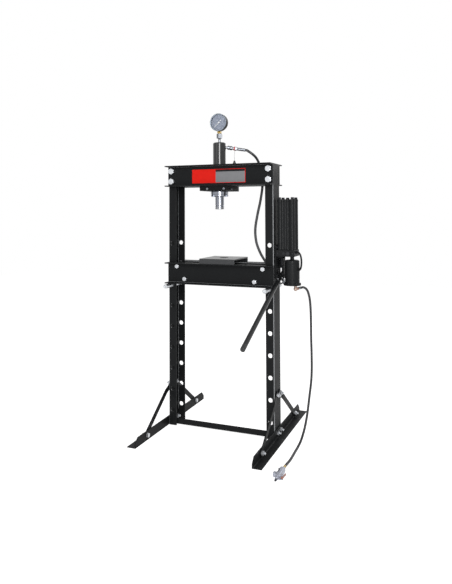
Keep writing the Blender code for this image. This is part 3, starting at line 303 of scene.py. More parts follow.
# The same enamel on thick machined plate, a little flatter.
PLATE_ENAMEL = Finish(
    "black_enamel_on_plate", "0f1011", "151617", "black_paint", 0, 0.55, 0.05, 60, 2.5, 0.015
)
# Black powder coat on cast and extruded aluminium: an even, finely pebbled skin.
POWDER = Finish(
    "powder_coated_aluminium", "151617", "1b1c1d", "black_alloy", 0, 0.5, 0.08, 50, 0.9, 0.02, coat=0.05
)
# Blued steel cylinder: near black with a satin sheen.
BLUED = TurnedFinish(
    "blued_steel", "17181a", "131415", "black_paint", 0, 0.5, 0.05, 70, 1, 0.002,
    coat=0.9, coat_roughness=0.16, ring=1.2,
)  # fmt: skip
# Bright zinc plate on bolts and fittings: pale grey, soft reflections.
ZINC = Finish("bright_zinc_plate", "cdcfd2", "adb0b4", "zinc", 1, 0.36, 0.5, 9, 0.8, 0.008)
# The same plate on turned fittings.
TURNED_ZINC = TurnedFinish(
    "zinc_plated_turned_steel", "7c7f84", "66696e", "zinc", 1, 0.3, 0.5, 12, 1, 0.004
)
# Hard chrome ground on the ram: mirror-like, with very fine rings.
CHROME = TurnedFinish(
    "ground_hard_chrome", "93969d", "84878f", "chrome", 1, 0.2, 0.5, 40, 1, 0.002, 0.03, ring=0.6
)
# Bare mild steel plate, oiled: mid grey with darker mill scale.
MILL = Finish("oiled_mill_steel", "2b2c2e", "222325", "steel", 0, 0.3, 0.45, 35, 1.6, 0.006)
# Turned steel saddle.
SADDLE = TurnedFinish("turned_steel", "a4a6a9", "8b8d90", "steel", 1, 0.26, 0.5, 20, 1, 0.006)
# Machined brass fittings: warm yellow, slightly dulled.
BRASS = Finish("machined_brass", "ab945c", "8f7845", "brass", 1, 0.36, 0.5, 8, 0.7, 0.006)
# Nickel-tinted brass of the elbow: pale and pinkish.
PALE_BRASS = Finish("pale_cast_brass", "ad968a", "937b6e", "brass", 0.45, 0.42, 0.4, 7, 0.7, 0.012)
# Blackened steel screws and small machined parts: near black with a soft sheen.
BLACK_STEEL = Finish("blackened_steel", "1c1d1f", "26272a", "black_alloy", 0, 0.4, 0.2, 8, 0.8, 0.008)
# Red brass nut of the air hose: a darker, redder brass.
RED_BRASS = Finish("red_brass", "86594a", "6f4638", "brass", 0.6, 0.4, 0.4, 6, 0.7, 0.006)
# Extruded hose cover: matt black rubber with a faint cloth print.
RUBBER = Finish("extruded_hose_rubber", "1c1c1e", "27272a", "hose_rubber", 0, 0.55, 0.35, 14, 0.8, 0.02)
# Wire-braided hydraulic hose with a thin black cover through which the strands show.
BRAID = BraidFinish(
    "braided_hydraulic_hose", "17181a", "4a4c50", "hose_rubber", 0, 0.45, 0.4, relief=0.12
)
# Moulded polyamide grip: black, satin.
BLACK_PLASTIC = Finish(
    "moulded_polyamide", "1a1b1c", "212223", "hose_rubber", 0, 0.42, 0.4, 20, 1.0, 0.015
)
# Red moulded plastic of the cap's ring.
RED_PLASTIC = Finish(
    "red_moulded_plastic", "b3231c", "9c1c17", "red_plastic", 0, 0.34, 0.5, 12, 1.0, 0.01
)
# Red-brown lacquer on the valve's lever.
LEVER_LACQUER = Finish("red_brown_lacquer", "93604f", "7c4a3e", "red_plastic", 0, 0.36, 0.5, 6, 0.9, 0.01)
# Die-cast zinc of the hand valve: silvery and a little rough.
DIE_CAST = Finish("die_cast_zinc", "a6a8b1", "878b97", "zinc", 0.85, 0.40, 0.5, 7, 0.9, 0.03)
# Bronze bush in the valve's boss.
BUSH = Finish("sintered_bronze", "8f7f7b", "7a6a66", "brass", 0.5, 0.5, 0.5, 5, 0.6, 0.02)
# Printed dial: a blue-grey card.
DIAL = Finish("printed_dial_card", "8e95a3", "858c9a", "dial_print", 0, 0.55, 0.2, 25, 1.0, 0.002)
# Printing ink on the dial.
INK = Finish("dial_ink", "575e6c", "626977", "dial_print", 0, 0.6, 0.3, 10, 1.0, 0.002)
# White lacquer on the pointer and its hub.
WHITE = Finish("white_lacquer", "f0f0ee", "e4e4e2", "white_paint", 0, 0.35, 0.5, 10, 1.0, 0.004)
# Gloss lacquer on the gauge's bezel.
GLOSS_BLACK = Finish(
    "gloss_black_lacquer", "161719", "1c1d1f", "black_alloy", 0, 0.45, 0.08, 30, 1.0, 0.003
)
# Pale anodised rim inside the gauge's bezel.
RIM = Finish("anodised_aluminium_rim", "a8b4c1", "9caab8", "zinc", 0.2, 0.4, 0.3, 15, 1.0, 0.003)
# Window of the gauge.
WINDOW = ClearFinish(
    "clear_polycarbonate", "8e95a3", "ffffff", "clear_lens", 0, 0.03, 0.5, 20, spread=0.05
)
# Vinyl label: a red field, a grey field, and a black strip.
VINYL_RED = Finish("red_vinyl", "cc1c12", "c2170e", "red_plastic", 0, 0.45, 0.1, 40, 1.2, 0.004)
VINYL_GREY = Finish("grey_vinyl", "77787a", "707173", "dial_print", 0, 0.45, 0.1, 40, 1.2, 0.004)
VINYL_BLACK = Finish("black_vinyl", "101011", "161617", "black_paint", 0, 0.45, 0.1, 40, 1.2, 0.004)


# ---------------------------------------------------------------- shapes
class Axis(Enum):
    """The way in which a turned or pushed shape points."""

    X = "X"
    Y = "Y"
    Z = "Z"

    def frame(self, at: Point = (0, 0, 0), back: bool = False) -> Matrix:
        """A matrix that takes local Z to this axis.

        Args:
            at: where the local origin goes.
            back: whether local Z points against the axis.

        Returns:
            The matrix.
        """
        way = Vector([float(self.value == name) for name in "XYZ"])
        return aimed(at, -way if back else way)


def aimed(at: Point, way: Point) -> Matrix:
    """A matrix that takes local Z to a direction, and local X as near level as it goes."""
    z = Vector(way).normalized()
    guide = Vector((0, 0, 1)) if abs(z.z) < 0.9 else Vector((0, 1, 0))
    x = guide.cross(z).normalized()
    turned = Matrix((x, z.cross(x), z)).transposed()
    return Matrix.Translation(at) @ turned.to_4x4()


def along_x(x: float, z: float = 0.0, sign: int = 1) -> Matrix:
    """A matrix that lays an outline in the YZ plane and pushes it along X, or back if sign is -1."""
    return Matrix(((0, 0, sign, x), (1, 0, 0, 0), (0, 1, 0, z), (0, 0, 0, 1)))


def arc(centre: Point, radius: float, start: float, end: float, steps: int = 6) -> Outline:
    """Points on an arc, with its angles in degrees."""
    angles = [math.radians(start + (end - start) * k / steps) for k in range(steps + 1)]
    return [(centre[0] + radius * math.cos(a), centre[1] + radius * math.sin(a)) for a in angles]


class Form:
    """A mesh that is put together from simple bodies, in metres."""

    def __init__(self) -> None:
        self.mesh = bmesh.new()
        self.lay = self.mesh.loops.layers.uv.new("lay")

    def rings(
        self, rings: Sequence[Sequence[Point]], at: Matrix, wrap: bool = False
    ) -> list[bmesh.types.BMFace]:
        """Skins a row of rings. A ring of one point is a tip.

        Args:
            rings: each ring's points, in the body's own coordinates.
            at: the body's place.
            wrap: whether the last ring joins the first. Otherwise both ends are closed.

        Returns:
            The new faces.
        """
        rows = [[self.mesh.verts.new(at @ Vector(p)) for p in ring] for ring in rings]
        faces = []
        pairs = list(zip(rows, rows[1:])) + ([(rows[-1], rows[0])] if wrap else [])
        for low, high in pairs:
            count = max(len(low), len(high))
            for k in range(count):
                near, far = k, (k + 1) % count
                around = ((low, near), (low, far), (high, far), (high, near))
                corners = [row[turn % len(row)] for row, turn in around]
                unique = [v for i, v in enumerate(corners) if v not in corners[:i]]
                faces.append(self.mesh.faces.new(unique))
        if not wrap:
            faces += [self.mesh.faces.new(row) for row in (rows[0][::-1], rows[-1]) if len(row) > 2]
        return faces

    def prism(self, outline: Sequence[Point], depth: float, at: Matrix) -> "Form":
        """Pushes an outline in local XY along local Z."""
        self.rings([[(x, y, z) for x, y in outline] for z in (0.0, depth)], at)
        return self

    def box(self, low: Point, high: Point, at: Matrix | None = None) -> "Form":
        """A box between two corners."""
        outline = ((low[0], low[1]), (high[0], low[1]), (high[0], high[1]), (low[0], high[1]))
        shift = Matrix.Translation((0, 0, low[2]))
        return self.prism(outline, high[2] - low[2], (at or Matrix()) @ shift)

    def lathe(self, profile: Sequence[Point], at: Matrix, sides: int = 56, wrap: bool = False) -> "Form":
        """Turns a profile of (radius, height) points round local Z."""
        rings = []
        for radius, height in profile:
            turns = [2 * math.pi * k / sides for k in range(sides if radius > 0 else 1)]
            rings.append([(radius * math.cos(a), radius * math.sin(a), height) for a in turns])
        self.rings(rings, at, wrap)
        return self

    def rod(self, radius: float, low: float, high: float, at: Matrix, sides: int = 36) -> "Form":
        """A plain round bar about local Z."""
        return self.lathe([(0, low), (radius, low), (radius, high), (0, high)], at, sides)

    def hexagon(self, flats: float, height: float, at: Matrix, both: bool = False) -> "Form":
        """A bolt head or nut with its corners chamfered at the top, and at the bottom for a nut."""
        steps, near = 36, flats / 2
        face = 0.95 * near

        def ring(level: float, sign: float) -> list[Point]:
            points = []
            for k in range(steps):
                turn = 2 * math.pi * k / steps
                reach = near / math.cos((turn + math.pi / 6) % (math.pi / 3) - math.pi / 6)
                drop = (reach - face) * math.tan(math.radians(30)) * sign
                points.append((reach * math.cos(turn), reach * math.sin(turn), level - drop))
            return points

        def circle(level: float) -> list[Point]:
            return [(*p, level) for p in arc((0, 0), face, 0, 360 - 360 / steps, steps - 1)]

        rings = [circle(0.0), ring(0.0, -1.0)] if both else [ring(0.0, 0.0)]
        self.rings([*rings, ring(height, 1.0), circle(height)], at)
        return self

    def thread(self, diameter: float, start: float, end: float, pitch: float, at: Matrix) -> "Form":
        """A stretch of thread as close rings, with a chamfered end."""
        count = max(2, round((end - start) / pitch))
        step, root, crest = (end - start) / count, diameter / 2 - 0.6 * pitch, diameter / 2
        profile = [(0.0, start)]
        for k in range(count):
            level = start + k * step
            profile += [(root, level), (crest, level + step / 2)]
        self.lathe([*profile, (root, end), (0.0, end)], at, 24)
        return self

    def tube(self, path: Sequence[Vector], radius: float, sides: int = 16) -> "Form":
        """A round tube along a path. Its UV map runs round it and along it, in metres."""
        ways = [(b - a).normalized() for a, b in zip(path, path[1:])]
        tangents = [ways[0], *((a + b).normalized() for a, b in zip(ways, ways[1:])), ways[-1]]
        side = tangents[0].orthogonal().normalized()
        rings, along, reach = [], [0.0], 0.0
        for k, (point, way) in enumerate(zip(path, tangents)):
            side = (side - way * side.dot(way)).normalized()
            up = way.cross(side)
            turns = [2 * math.pi * j / sides for j in range(sides)]
            rings.append([point + (side * math.cos(a) + up * math.sin(a)) * radius for a in turns])
            if k:
                reach += (point - path[k - 1]).length
                along.append(reach)
        faces = self.rings(rings, Matrix())
        for row, face in enumerate(faces[: sides * (len(path) - 1)]):
            k, j = divmod(row, sides)
            spots = ((j, k), (j + 1, k), (j + 1, k + 1), (j, k + 1))
            for loop, (around, station) in zip(face.loops, spots):
                loop[self.lay].uv = (around * 2 * math.pi * radius / sides, along[station])
        return self

    def eased(self, width: float, steps: int = 2, limit: float = 35.0) -> "Form":
        """Rounds off every edge that is sharper than the limit, in degrees."""
        bmesh.ops.recalc_face_normals(self.mesh, faces=self.mesh.faces)
        bound = math.radians(limit)
        edges = [e for e in self.mesh.edges if e.is_manifold and e.calc_face_angle(0.0) > bound]
        shape = {"segments": steps, "profile": 0.5, "affect": "EDGES", "clamp_overlap": True}
        bmesh.ops.bevel(self.mesh, geom=edges, offset=width, **shape)
        return self

    def bored(self, cutter: "Form") -> "Form":
        """Cuts another form out of this one."""
        body, tool = self.loose("body"), cutter.loose("tool")
        step = body.modifiers.new("bore", "BOOLEAN")
        step.operation, step.solver, step.object = "DIFFERENCE", "EXACT", tool
        cut = body.evaluated_get(bpy.context.evaluated_depsgraph_get()).to_mesh()
        self.mesh = bmesh.new()
        self.mesh.from_mesh(cut)
        self.lay = self.mesh.loops.layers.uv.verify()
        for obj in (body, tool):
            bpy.data.objects.remove(obj)
        return self

    def loose(self, name: str) -> Piece:
        """The form as a plain object in the scene. The form is used up."""
        bmesh.ops.recalc_face_normals(self.mesh, faces=self.mesh.faces)
        mesh = bpy.data.meshes.new(name)
        self.mesh.to_mesh(mesh)
        self.mesh.free()
        obj = bpy.data.objects.new(name, mesh)
        bpy.context.scene.collection.objects.link(obj)
        bpy.context.view_layer.update()
        return obj

    def piece(
        self, name: str, finish: Finish, body: str, stands_for: Iterable[str] = (), smooth: float = 42.0
    ) -> Piece:
        """Turns the form into a piece of the press.

        Args:
            name: the piece's name.
            finish: what it is made of.
            body: the CAD body that it rides on.
            stands_for: the CAD nodes that it replaces.
            smooth: the angle, in degrees, up to which its faces blend.

        Returns:
            The piece.
        """
        obj = self.loose(name)
        obj.data.shade_smooth()
        obj.data.set_sharp_from_angle(angle=math.radians(smooth))
        obj.modifiers.new("even_faces", "WEIGHTED_NORMAL").keep_sharp = True
        return settle(obj, finish, body, stands_for)


def settle(obj: Piece, finish: Finish, body: str, stands_for: Iterable[str] = ()) -> Piece:
    """Gives a piece its finish and its body, and hides the CAD nodes that it stands for."""
    obj.data.materials.clear()
    obj.data.materials.append(finish.material())
    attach(obj, body)
    if tuple(stands_for):
        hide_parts(*stands_for)
    LOG.info("%s rides on %s", obj.name, body)
    return obj


def middle(node: str) -> Vector:
    """The middle of a CAD node's box."""
    low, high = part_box(node)
    return (low + high) / 2


def frame_middle() -> Vector:
    """The point on the floor midway between the uprights, from which the frame is laid out."""
    left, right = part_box("upright_left"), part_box("upright_right")
    return Vector(((left[0].x + right[1].x) / 2, middle("upright_left").y, 0))


def pivot_of(body: str) -> Vector:
    """The place of the joint that moves a CAD body."""
    joint = next(j for j in frame["joints"] if j["child"] == body)
    return Vector(joint["pos_m"])


# ---------------------------------------------------------------- bolts
@dataclass
class Bolt:
    """A hex bolt and its washer, sized from its thread."""

    size: float
    head: float = 0.62  # the head's height, in thread sizes
    washer: float = 0.76  # the washer's radius
    washer_thick: float = 0.15
    flats: float = 1.5
    stub: float = 0.2  # the thread's end beyond the nut

    def head_on(self, form: Form, at: Matrix, washer: bool = True) -> Form:
        """Adds the washer and the head, from the clamped face out along local Z."""
        thick = self.washer_thick * self.size if washer else 0.0
        if washer:
            inner, outer, ease = self.size * 0.52, self.washer * self.size, thick * 0.2
            profile = [(inner, 0), (outer, 0), (outer, thick - ease), (outer - ease, thick)]
            form.lathe([*profile, (inner, thick)], at, 36, wrap=True)
        lift = at @ Matrix.Translation((0, 0, thick)) @ Matrix.Rotation(math.radians(4), 4, "Z")
        return form.hexagon(self.flats * self.size, self.head * self.size, lift)

    def nut_on(self, form: Form, at: Matrix) -> Form:
        """Adds the washer, the nut and the thread's end, from the clamped face out."""
        thick = self.washer_thick * self.size
        form.rod(self.washer * self.size, 0, thick, at)
        lift = at @ Matrix.Translation((0, 0, thick)) @ Matrix.Rotation(math.radians(-8), 4, "Z")
        top = self.head * self.size
        form.hexagon(self.flats * self.size, top, lift, both=True)
        end = top + self.stub * self.size
        return form.thread(self.size * 0.96, top - 0.001, end, self.size * 0.11, lift)

    def through(
        self, node: str, axis: Axis, body: str, sleeve: tuple[float, float] | None = None
    ) -> None:
        """Builds a bolt with its nut in place of a CAD node that holds both.

        Args:
            node: the CAD node.
            axis: the bolt's axis. Its head is at the axis's low end.
            body: the CAD body that it rides on.
            sleeve: a spacer's diameter and length, about the bolt's middle.
        """
        low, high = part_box(node)
        centre, index = (low + high) / 2, "XYZ".index(axis.value)
        half = (high - low)[index] / 2 - (self.head + self.washer_thick) * self.size
        way = axis.frame() @ Vector((0, 0, half))
        form = Form()
        self.head_on(form, axis.frame(centre - way, back=True))
        self.nut_on(form, axis.frame(centre + way))
        form.rod(self.size / 2, -half, half, axis.frame(centre), 32)
        if sleeve:
            form.rod(sleeve[0] / 2, -sleeve[1] / 2, sleeve[1] / 2, axis.frame(centre))
        form.piece(f"{node}_set", ZINC, body, [node])


# ---------------------------------------------------------------- frame
@dataclass
class Channel:
    """A channel pressed from plate, with rounded bends."""

    wall: float = 0.006
    bend: float = 0.0075  # the bends' outer radius
    reach: float = 0.2  # half the length of a hole's cutter

    def outline(self, depth: float, flange: float) -> Outline:
        """The section: its web lies on the first axis's zero, its flanges point along that axis."""
        half, wall, outer = depth / 2, self.wall, self.bend
        inner = max(outer - wall, 0.0018)
        turn = wall + inner
        points = [(flange, half), *arc((outer, half - outer), outer, 90, 180)]
        points += [*arc((outer, outer - half), outer, 180, 270), (flange, -half), (flange, wall - half)]
        points += arc((turn, turn - half), inner, 270, 180, 4)
        return points + arc((turn, half - turn), inner, 180, 90, 4) + [(flange, half - wall)]

    def build(
        self, node: str, web: Vector, across: Axis, along: Axis, body: str,
        holes: Sequence[tuple[float, Vector]] = (),
    ) -> None:  # fmt: skip
        """Builds the channel in a CAD node's box.

        Args:
            node: the CAD node that it stands for.
            web: the way in which the web faces.
            across: the section's long axis.
            along: the channel's length.
            body: the CAD body that it rides on.
            holes: a diameter and a middle for each round hole along Y.
        """
        low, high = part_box(node)
        centre, size = (low + high) / 2, high - low
        names = "XYZ"
        flange = size[names.index("X" if web.x else "Y")]
        depth, length = size[names.index(across.value)], size[names.index(along.value)]
        x, y = -web, across.frame() @ Vector((0, 0, 1))
        z = x.cross(y)
        turned = Matrix((x, y, z)).transposed().to_4x4()
        corner = centre + web * flange / 2 - z * length / 2
        form = Form().prism(self.outline(depth, flange), length, Matrix.Translation(corner) @ turned)
        if holes:
            cutter = Form()
            for diameter, at in holes:
                cutter.rod(diameter / 2, -self.reach, self.reach, Axis.Y.frame(at), 40)
            form.bored(cutter)
        form.eased(0.0007, 2, 50).piece(f"{node}_channel", CHANNEL_ENAMEL, body, [node])


@dataclass
class Frame:
    """The uprights, head beams, feet, braces and spreader."""

    hole: float = 0.025
    pitch: float = 0.120
    lowest: float = 0.089  # the lowest hole's height
    holes: int = 9
    inset: float = 0.024  # from the web's outer face to the holes' middle
    foot_wall: float = 0.005
    foot_chamfer: float = 0.028
    brace_width: float = 0.030
    brace_wall: float = 0.005
    brace_top: tuple[float, float] = (0.014, 0.240)  # out from the upright's middle, and up
    brace_foot: tuple[float, float] = (0.331, 0.0185)
    brace_flat: float = 0.046  # where the sideways step starts, along the bar
    brace_step: float = 0.084  # where it ends
    brace_edge: float = 0.016  # from the bar's end to its bolt
    spreader_leg: float = 0.032
    spreader_wall: float = 0.004
    tab_wall: float = 0.005
    tab_low: float = 0.005
    tab_top: float = 0.060

    def build(self) -> None:
        """Builds the whole frame."""
        origin = frame_middle()
        for side, word in ((-1, "left"), (1, "right")):
            self.upright(side, f"upright_{word}", origin)
            self.foot(side, f"foot_{word}")
            for end, end_word in ((-1, "front"), (1, "rear")):
                self.brace(side, end, f"brace_{word}_{end_word}", origin)
                bolt = Bolt(0.012, 0.72, 1.0, flats=1.9, stub=0.9)
                bolt.through(f"foot_bolt_{word}_{end_word}", Axis.X, "frame")
            for height in ("lower", "upper"):
                Bolt(0.020, 0.7, 0.8, flats=1.6).through(f"head_bolt_{word}_{height}", Axis.Y, "frame")
        for side, word in ((-1, "front"), (1, "rear")):
            self.head_beam(side, f"head_beam_{word}")
        self.spreader(origin)

    def upright(self, side: int, node: str, origin: Vector) -> None:
        """A channel with a column of pin holes through both flanges."""
        low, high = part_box(node)
        x = (high.x if side > 0 else low.x) - side * self.inset
        levels = [self.lowest + k * self.pitch for k in range(self.holes)]
        holes = [(self.hole, Vector((x, origin.y, level))) for level in levels]
        Channel().build(node, Vector((side, 0, 0)), Axis.Y, Axis.Z, "frame", holes)

    def head_beam(self, side: int, node: str) -> None:
        """A channel with a plain hole between each pair of bolts."""
        centre = middle(node)
        holes = []
        for word in ("left", "right"):
            pair = [middle(f"head_bolt_{word}_{height}") for height in ("lower", "upper")]
            between = (pair[0] + pair[1]) / 2
            holes.append((0.012, Vector((between.x, centre.y, between.z))))
        Channel().build(node, Vector((0, -side, 0)), Axis.Z, Axis.X, "frame", holes)

    def foot(self, side: int, node: str) -> None:
        """An angle with clipped corners on its upright leg."""
        low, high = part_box(node)
        cut, wall, leg = self.foot_chamfer, self.foot_wall, high.z
        near = low.x if side > 0 else high.x
        outline = (
            (low.y, 0), (high.y, 0), (high.y, leg - cut), (high.y - cut, leg),
            (low.y + cut, leg), (low.y, leg - cut),
        )  # fmt: skip
        form = Form().prism(outline, wall, along_x(near, sign=side))
        form.box((low.x, low.y, 0), (high.x, high.y, wall))
        root = near + side * wall
        curve = arc((root + side * wall, 2 * wall), wall, 270, 270 - side * 90, 5)
        fillet = [(root - side * 0.001, wall - 0.001), (curve[0][0], wall - 0.001), *curve]
        fillet.append((root - side * 0.001, curve[-1][1]))
        pushed = Matrix(((1, 0, 0, 0), (0, 0, 1, low.y), (0, 1, 0, 0), (0, 0, 0, 1)))
        form.prism(fillet, high.y - low.y, pushed)
        form.eased(0.0008, 2, 40).piece(f"{node}_angle", ENAMEL, "frame", [node])

    def brace(self, side: int, end: int, node: str, origin: Vector) -> None:
        """A flat bar with a smooth sideways step, and its two bolts."""
        low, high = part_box(node)
        near, far = (low.x, high.x) if side > 0 else (high.x, low.x)
        travel = (far - near) - side * self.brace_wall
        top, foot = Vector(self.brace_top), Vector(self.brace_foot)
        way = (foot - top).normalized()
        across = Vector((-way.y, way.x)) * self.brace_width / 2
        length = (foot - top).length
        bend = [self.brace_flat + (self.brace_step - self.brace_flat) * k / 6 for k in range(7)]
        rings = []
        for reach in (0.0, *bend, length):
            share = min(1.0, max(0.0, (reach - bend[0]) / (bend[-1] - bend[0])))
            out = near + travel * share * share * (3 - 2 * share)
            spot = top + way * reach
            corners = ((spot - across, 0), (spot + across, 0), (spot + across, 1), (spot - across, 1))
            wall = side * self.brace_wall
            rings.append([(out + k * wall, origin.y + end * p.x, p.y) for p, k in corners])
        form = Form()
        form.rings(rings, Matrix())
        form.eased(0.0009, 2, 60).piece(f"{node}_bar", ENAMEL, "frame", [node])
        bolts, bolt = Form(), Bolt(0.013, 0.7, 0.9, flats=1.65, stub=0.7)
        web, leg = near - side * SEAT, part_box(f"foot_{node.split('_')[1]}")
        upper = (self.brace_edge, near + side * self.brace_wall, web - side * Channel.wall)
        lower = (length - self.brace_edge, far, leg[0].x if side > 0 else leg[1].x)
        for reach, face, back in (upper, lower):
            spot = top + way * reach
            y, z = origin.y + end * spot.x, spot.y
            bolt.nut_on(bolts, Axis.X.frame((face, y, z), back=side < 0))
            bolt.head_on(bolts, Axis.X.frame((back, y, z), back=side > 0))
        bolts.piece(f"{node}_bolts", ZINC, "frame")

    def spreader(self, origin: Vector) -> None:
        """An angle between the uprights, welded to a bolted tab at each end."""
        low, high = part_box("spreader")
        leg, wall, front = self.spreader_leg, self.spreader_wall, origin.y - 0.044
        outline = (
            (front, low.z), (front + leg, low.z), (front + leg, low.z + wall),
            (front + wall, low.z + wall), (front + wall, low.z + leg), (front, low.z + leg),
        )  # fmt: skip
        form = Form().prism(outline, high.x - low.x, along_x(low.x))
        for start in (low.x, high.x - self.tab_wall):
            form.box((start, low.y, self.tab_low), (start + self.tab_wall, high.y, self.tab_top))
        form.eased(0.0007, 2, 50).piece("spreader_angle", ENAMEL, "frame", ["spreader"])


@dataclass
class Label:
    """A bare vinyl label on the front head beam: three coloured fields and no lettering."""

    left: float = -0.165
    split: float = -0.018
    right: float = 0.161
    low: float = 1.397
    high: float = 1.476
    strip: float = 0.012
    border: float = 0.003
    thick: float = 0.0003

    def build(self) -> None:
        """Lays the three fields on the beam's web."""
        origin = frame_middle()
        # The flanges point to the front, so the label lies on the web between them.
        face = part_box("head_beam_front")[1].y - Channel.wall
        x = [origin.x + value for value in (self.left, self.split, self.right)]
        edge, step, top = self.border, self.thick, self.high - self.border
        fields = (
            ("label_red_field", VINYL_RED, x[0], x[2], self.low, self.high),
            ("label_grey_field", VINYL_GREY, x[1], x[2] - edge, self.low + edge, top),
            ("label_black_strip", VINYL_BLACK, x[1], x[2] - edge, top - self.strip, top),
        )
        for k, (name, finish, left, right, low, high) in enumerate(fields):
            base = face - k * step
            form = Form().box((left, base - step, low), (right, base, high))
            form.piece(name, finish, "frame")


# ---------------------------------------------------------------- ram unit
@dataclass
class RamUnit:
    """The head plate, the cylinder with its ring nut, the rod and its saddle."""

    cylinder: float = 0.075
    collar: float = 0.090
    collar_height: float = 0.014
    nut: float = 0.100
    rod: float = 0.050
    bore: float = 0.030
    piston: float = 0.059

    def build(self) -> None:
        """Builds the unit about the ram's axis."""
        axis = middle("ram_rod")
        at = Matrix.Translation((axis.x, axis.y, 0))
        self.plate()
        low, high = (corner.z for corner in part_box("ram_cylinder"))
        plate_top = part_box("head_plate")[1].z
        wide, rim, step = self.cylinder / 2, self.collar / 2, plate_top + self.collar_height
        mouth, deep = self.rod / 2 + 0.0006, 0.028
        profile = [
            (0, high), (wide - 0.005, high), (wide, high - 0.005), (wide, step + 0.002),
            (rim - 0.001, step), (rim, step - 0.001), (rim, plate_top + 0.0005),
            (wide, plate_top + 0.0005), (wide, low), (mouth + 0.002, low), (mouth, low + 0.002),
            (mouth, low + deep), (0, low + deep),
        ]  # fmt: skip
        form = Form().lathe(profile, at, 72).eased(0.0008, 2, 25)
        form.piece("cylinder_barrel", BLUED, "frame", ["ram_cylinder"])
        self.ring_nut(at)
        self.ram(at)

    def plate(self) -> None:
        """The thick plate under the beams, its front bolts and the stop screw on its right face."""
        low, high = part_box("head_plate")
        axis = middle("ram_rod")
        plate = Form().box(low, high)
        radius = self.cylinder / 2 + SEAT
        hole = Matrix.Translation((axis.x, axis.y, 0))
        plate.bored(Form().rod(radius, low.z - 0.01, high.z + 0.01, hole, 64))
        plate.eased(0.0012, 2, 40).piece("head_plate_block", PLATE_ENAMEL, "frame", ["head_plate"])
        bolts = Form()
        level = low.z + 0.011
        for x in (low.x + 0.048, high.x - 0.012):
            Bolt(0.008).head_on(bolts, Axis.Y.frame((x, low.y, level), back=True), washer=False)
        screw = Axis.X.frame((high.x, middle("head_plate").y - 0.03, level))
        bolts.thread(0.008, 0.0, 0.008, 0.0016, screw)
        bolts.piece("head_plate_bolts", TURNED_ZINC, "frame")

    def ring_nut(self, at: Matrix) -> None:
        """The chrome ring nut, with spanner slots round its lower edge."""
        low, high = (corner.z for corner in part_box("ram_ring_nut"))
        inner, outer = self.cylinder / 2 + SEAT, self.nut / 2
        profile = [
            (inner, low), (outer - 0.003, low), (outer, low + 0.003), (outer, low + 0.011),
            (outer - 0.0012, low + 0.012), (outer - 0.0012, low + 0.014), (outer, low + 0.015),
            (outer, high - 0.003), (outer - 0.003, high), (inner, high),
        ]  # fmt: skip
        nut = Form().lathe(profile, at, 72, wrap=True)
        slots = Form()
        for k in range(4):
            turn = at @ Matrix.Rotation(math.radians(90 * k + 69), 4, "Z")
            slots.box((outer - 0.004, -0.0035, low - 0.001), (outer + 0.004, 0.0035, low + 0.009), turn)
        nut.bored(slots)
        nut.eased(0.0004, 2, 30).piece("ring_nut_turned", CHROME, "frame", ["ram_ring_nut"])

    def ram(self, at: Matrix) -> None:
        """The ground rod with its piston, and the saddle at its tip."""
        low, high = (corner.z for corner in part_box("ram_rod"))
        wide, bore, piston = self.rod / 2, self.bore / 2, self.piston / 2
        profile = [
            (0, low), (wide - 0.001, low), (wide, low + 0.001), (wide, low + 0.009),
            (wide - 0.001, low + 0.010), (wide - 0.001, low + 0.013), (wide, low + 0.014),
            (wide, high - 0.030), (piston, high - 0.030), (piston, high), (bore, high),
            (bore, low + 0.04), (0, low + 0.04),
        ]  # fmt: skip
        rod = Form().lathe(profile, at, 72).eased(0.0004, 2, 25)
        rod.piece("ram_ground_rod", CHROME, "ram", ["ram_rod"])
        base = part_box("ram_saddle")[0].z
        profile = [(0, base + 0.0015), (0.012, base + 0.0015), (0.0135, base), (wide - 0.0015, base)]
        profile += [(wide, base + 0.0015), (wide, low - 0.0006), (0, low - 0.0006)]
        saddle = Form().lathe(profile, at, 72).eased(0.0004, 2, 25)
        saddle.piece("ram_tip_saddle", SADDLE, "ram", ["ram_saddle"])


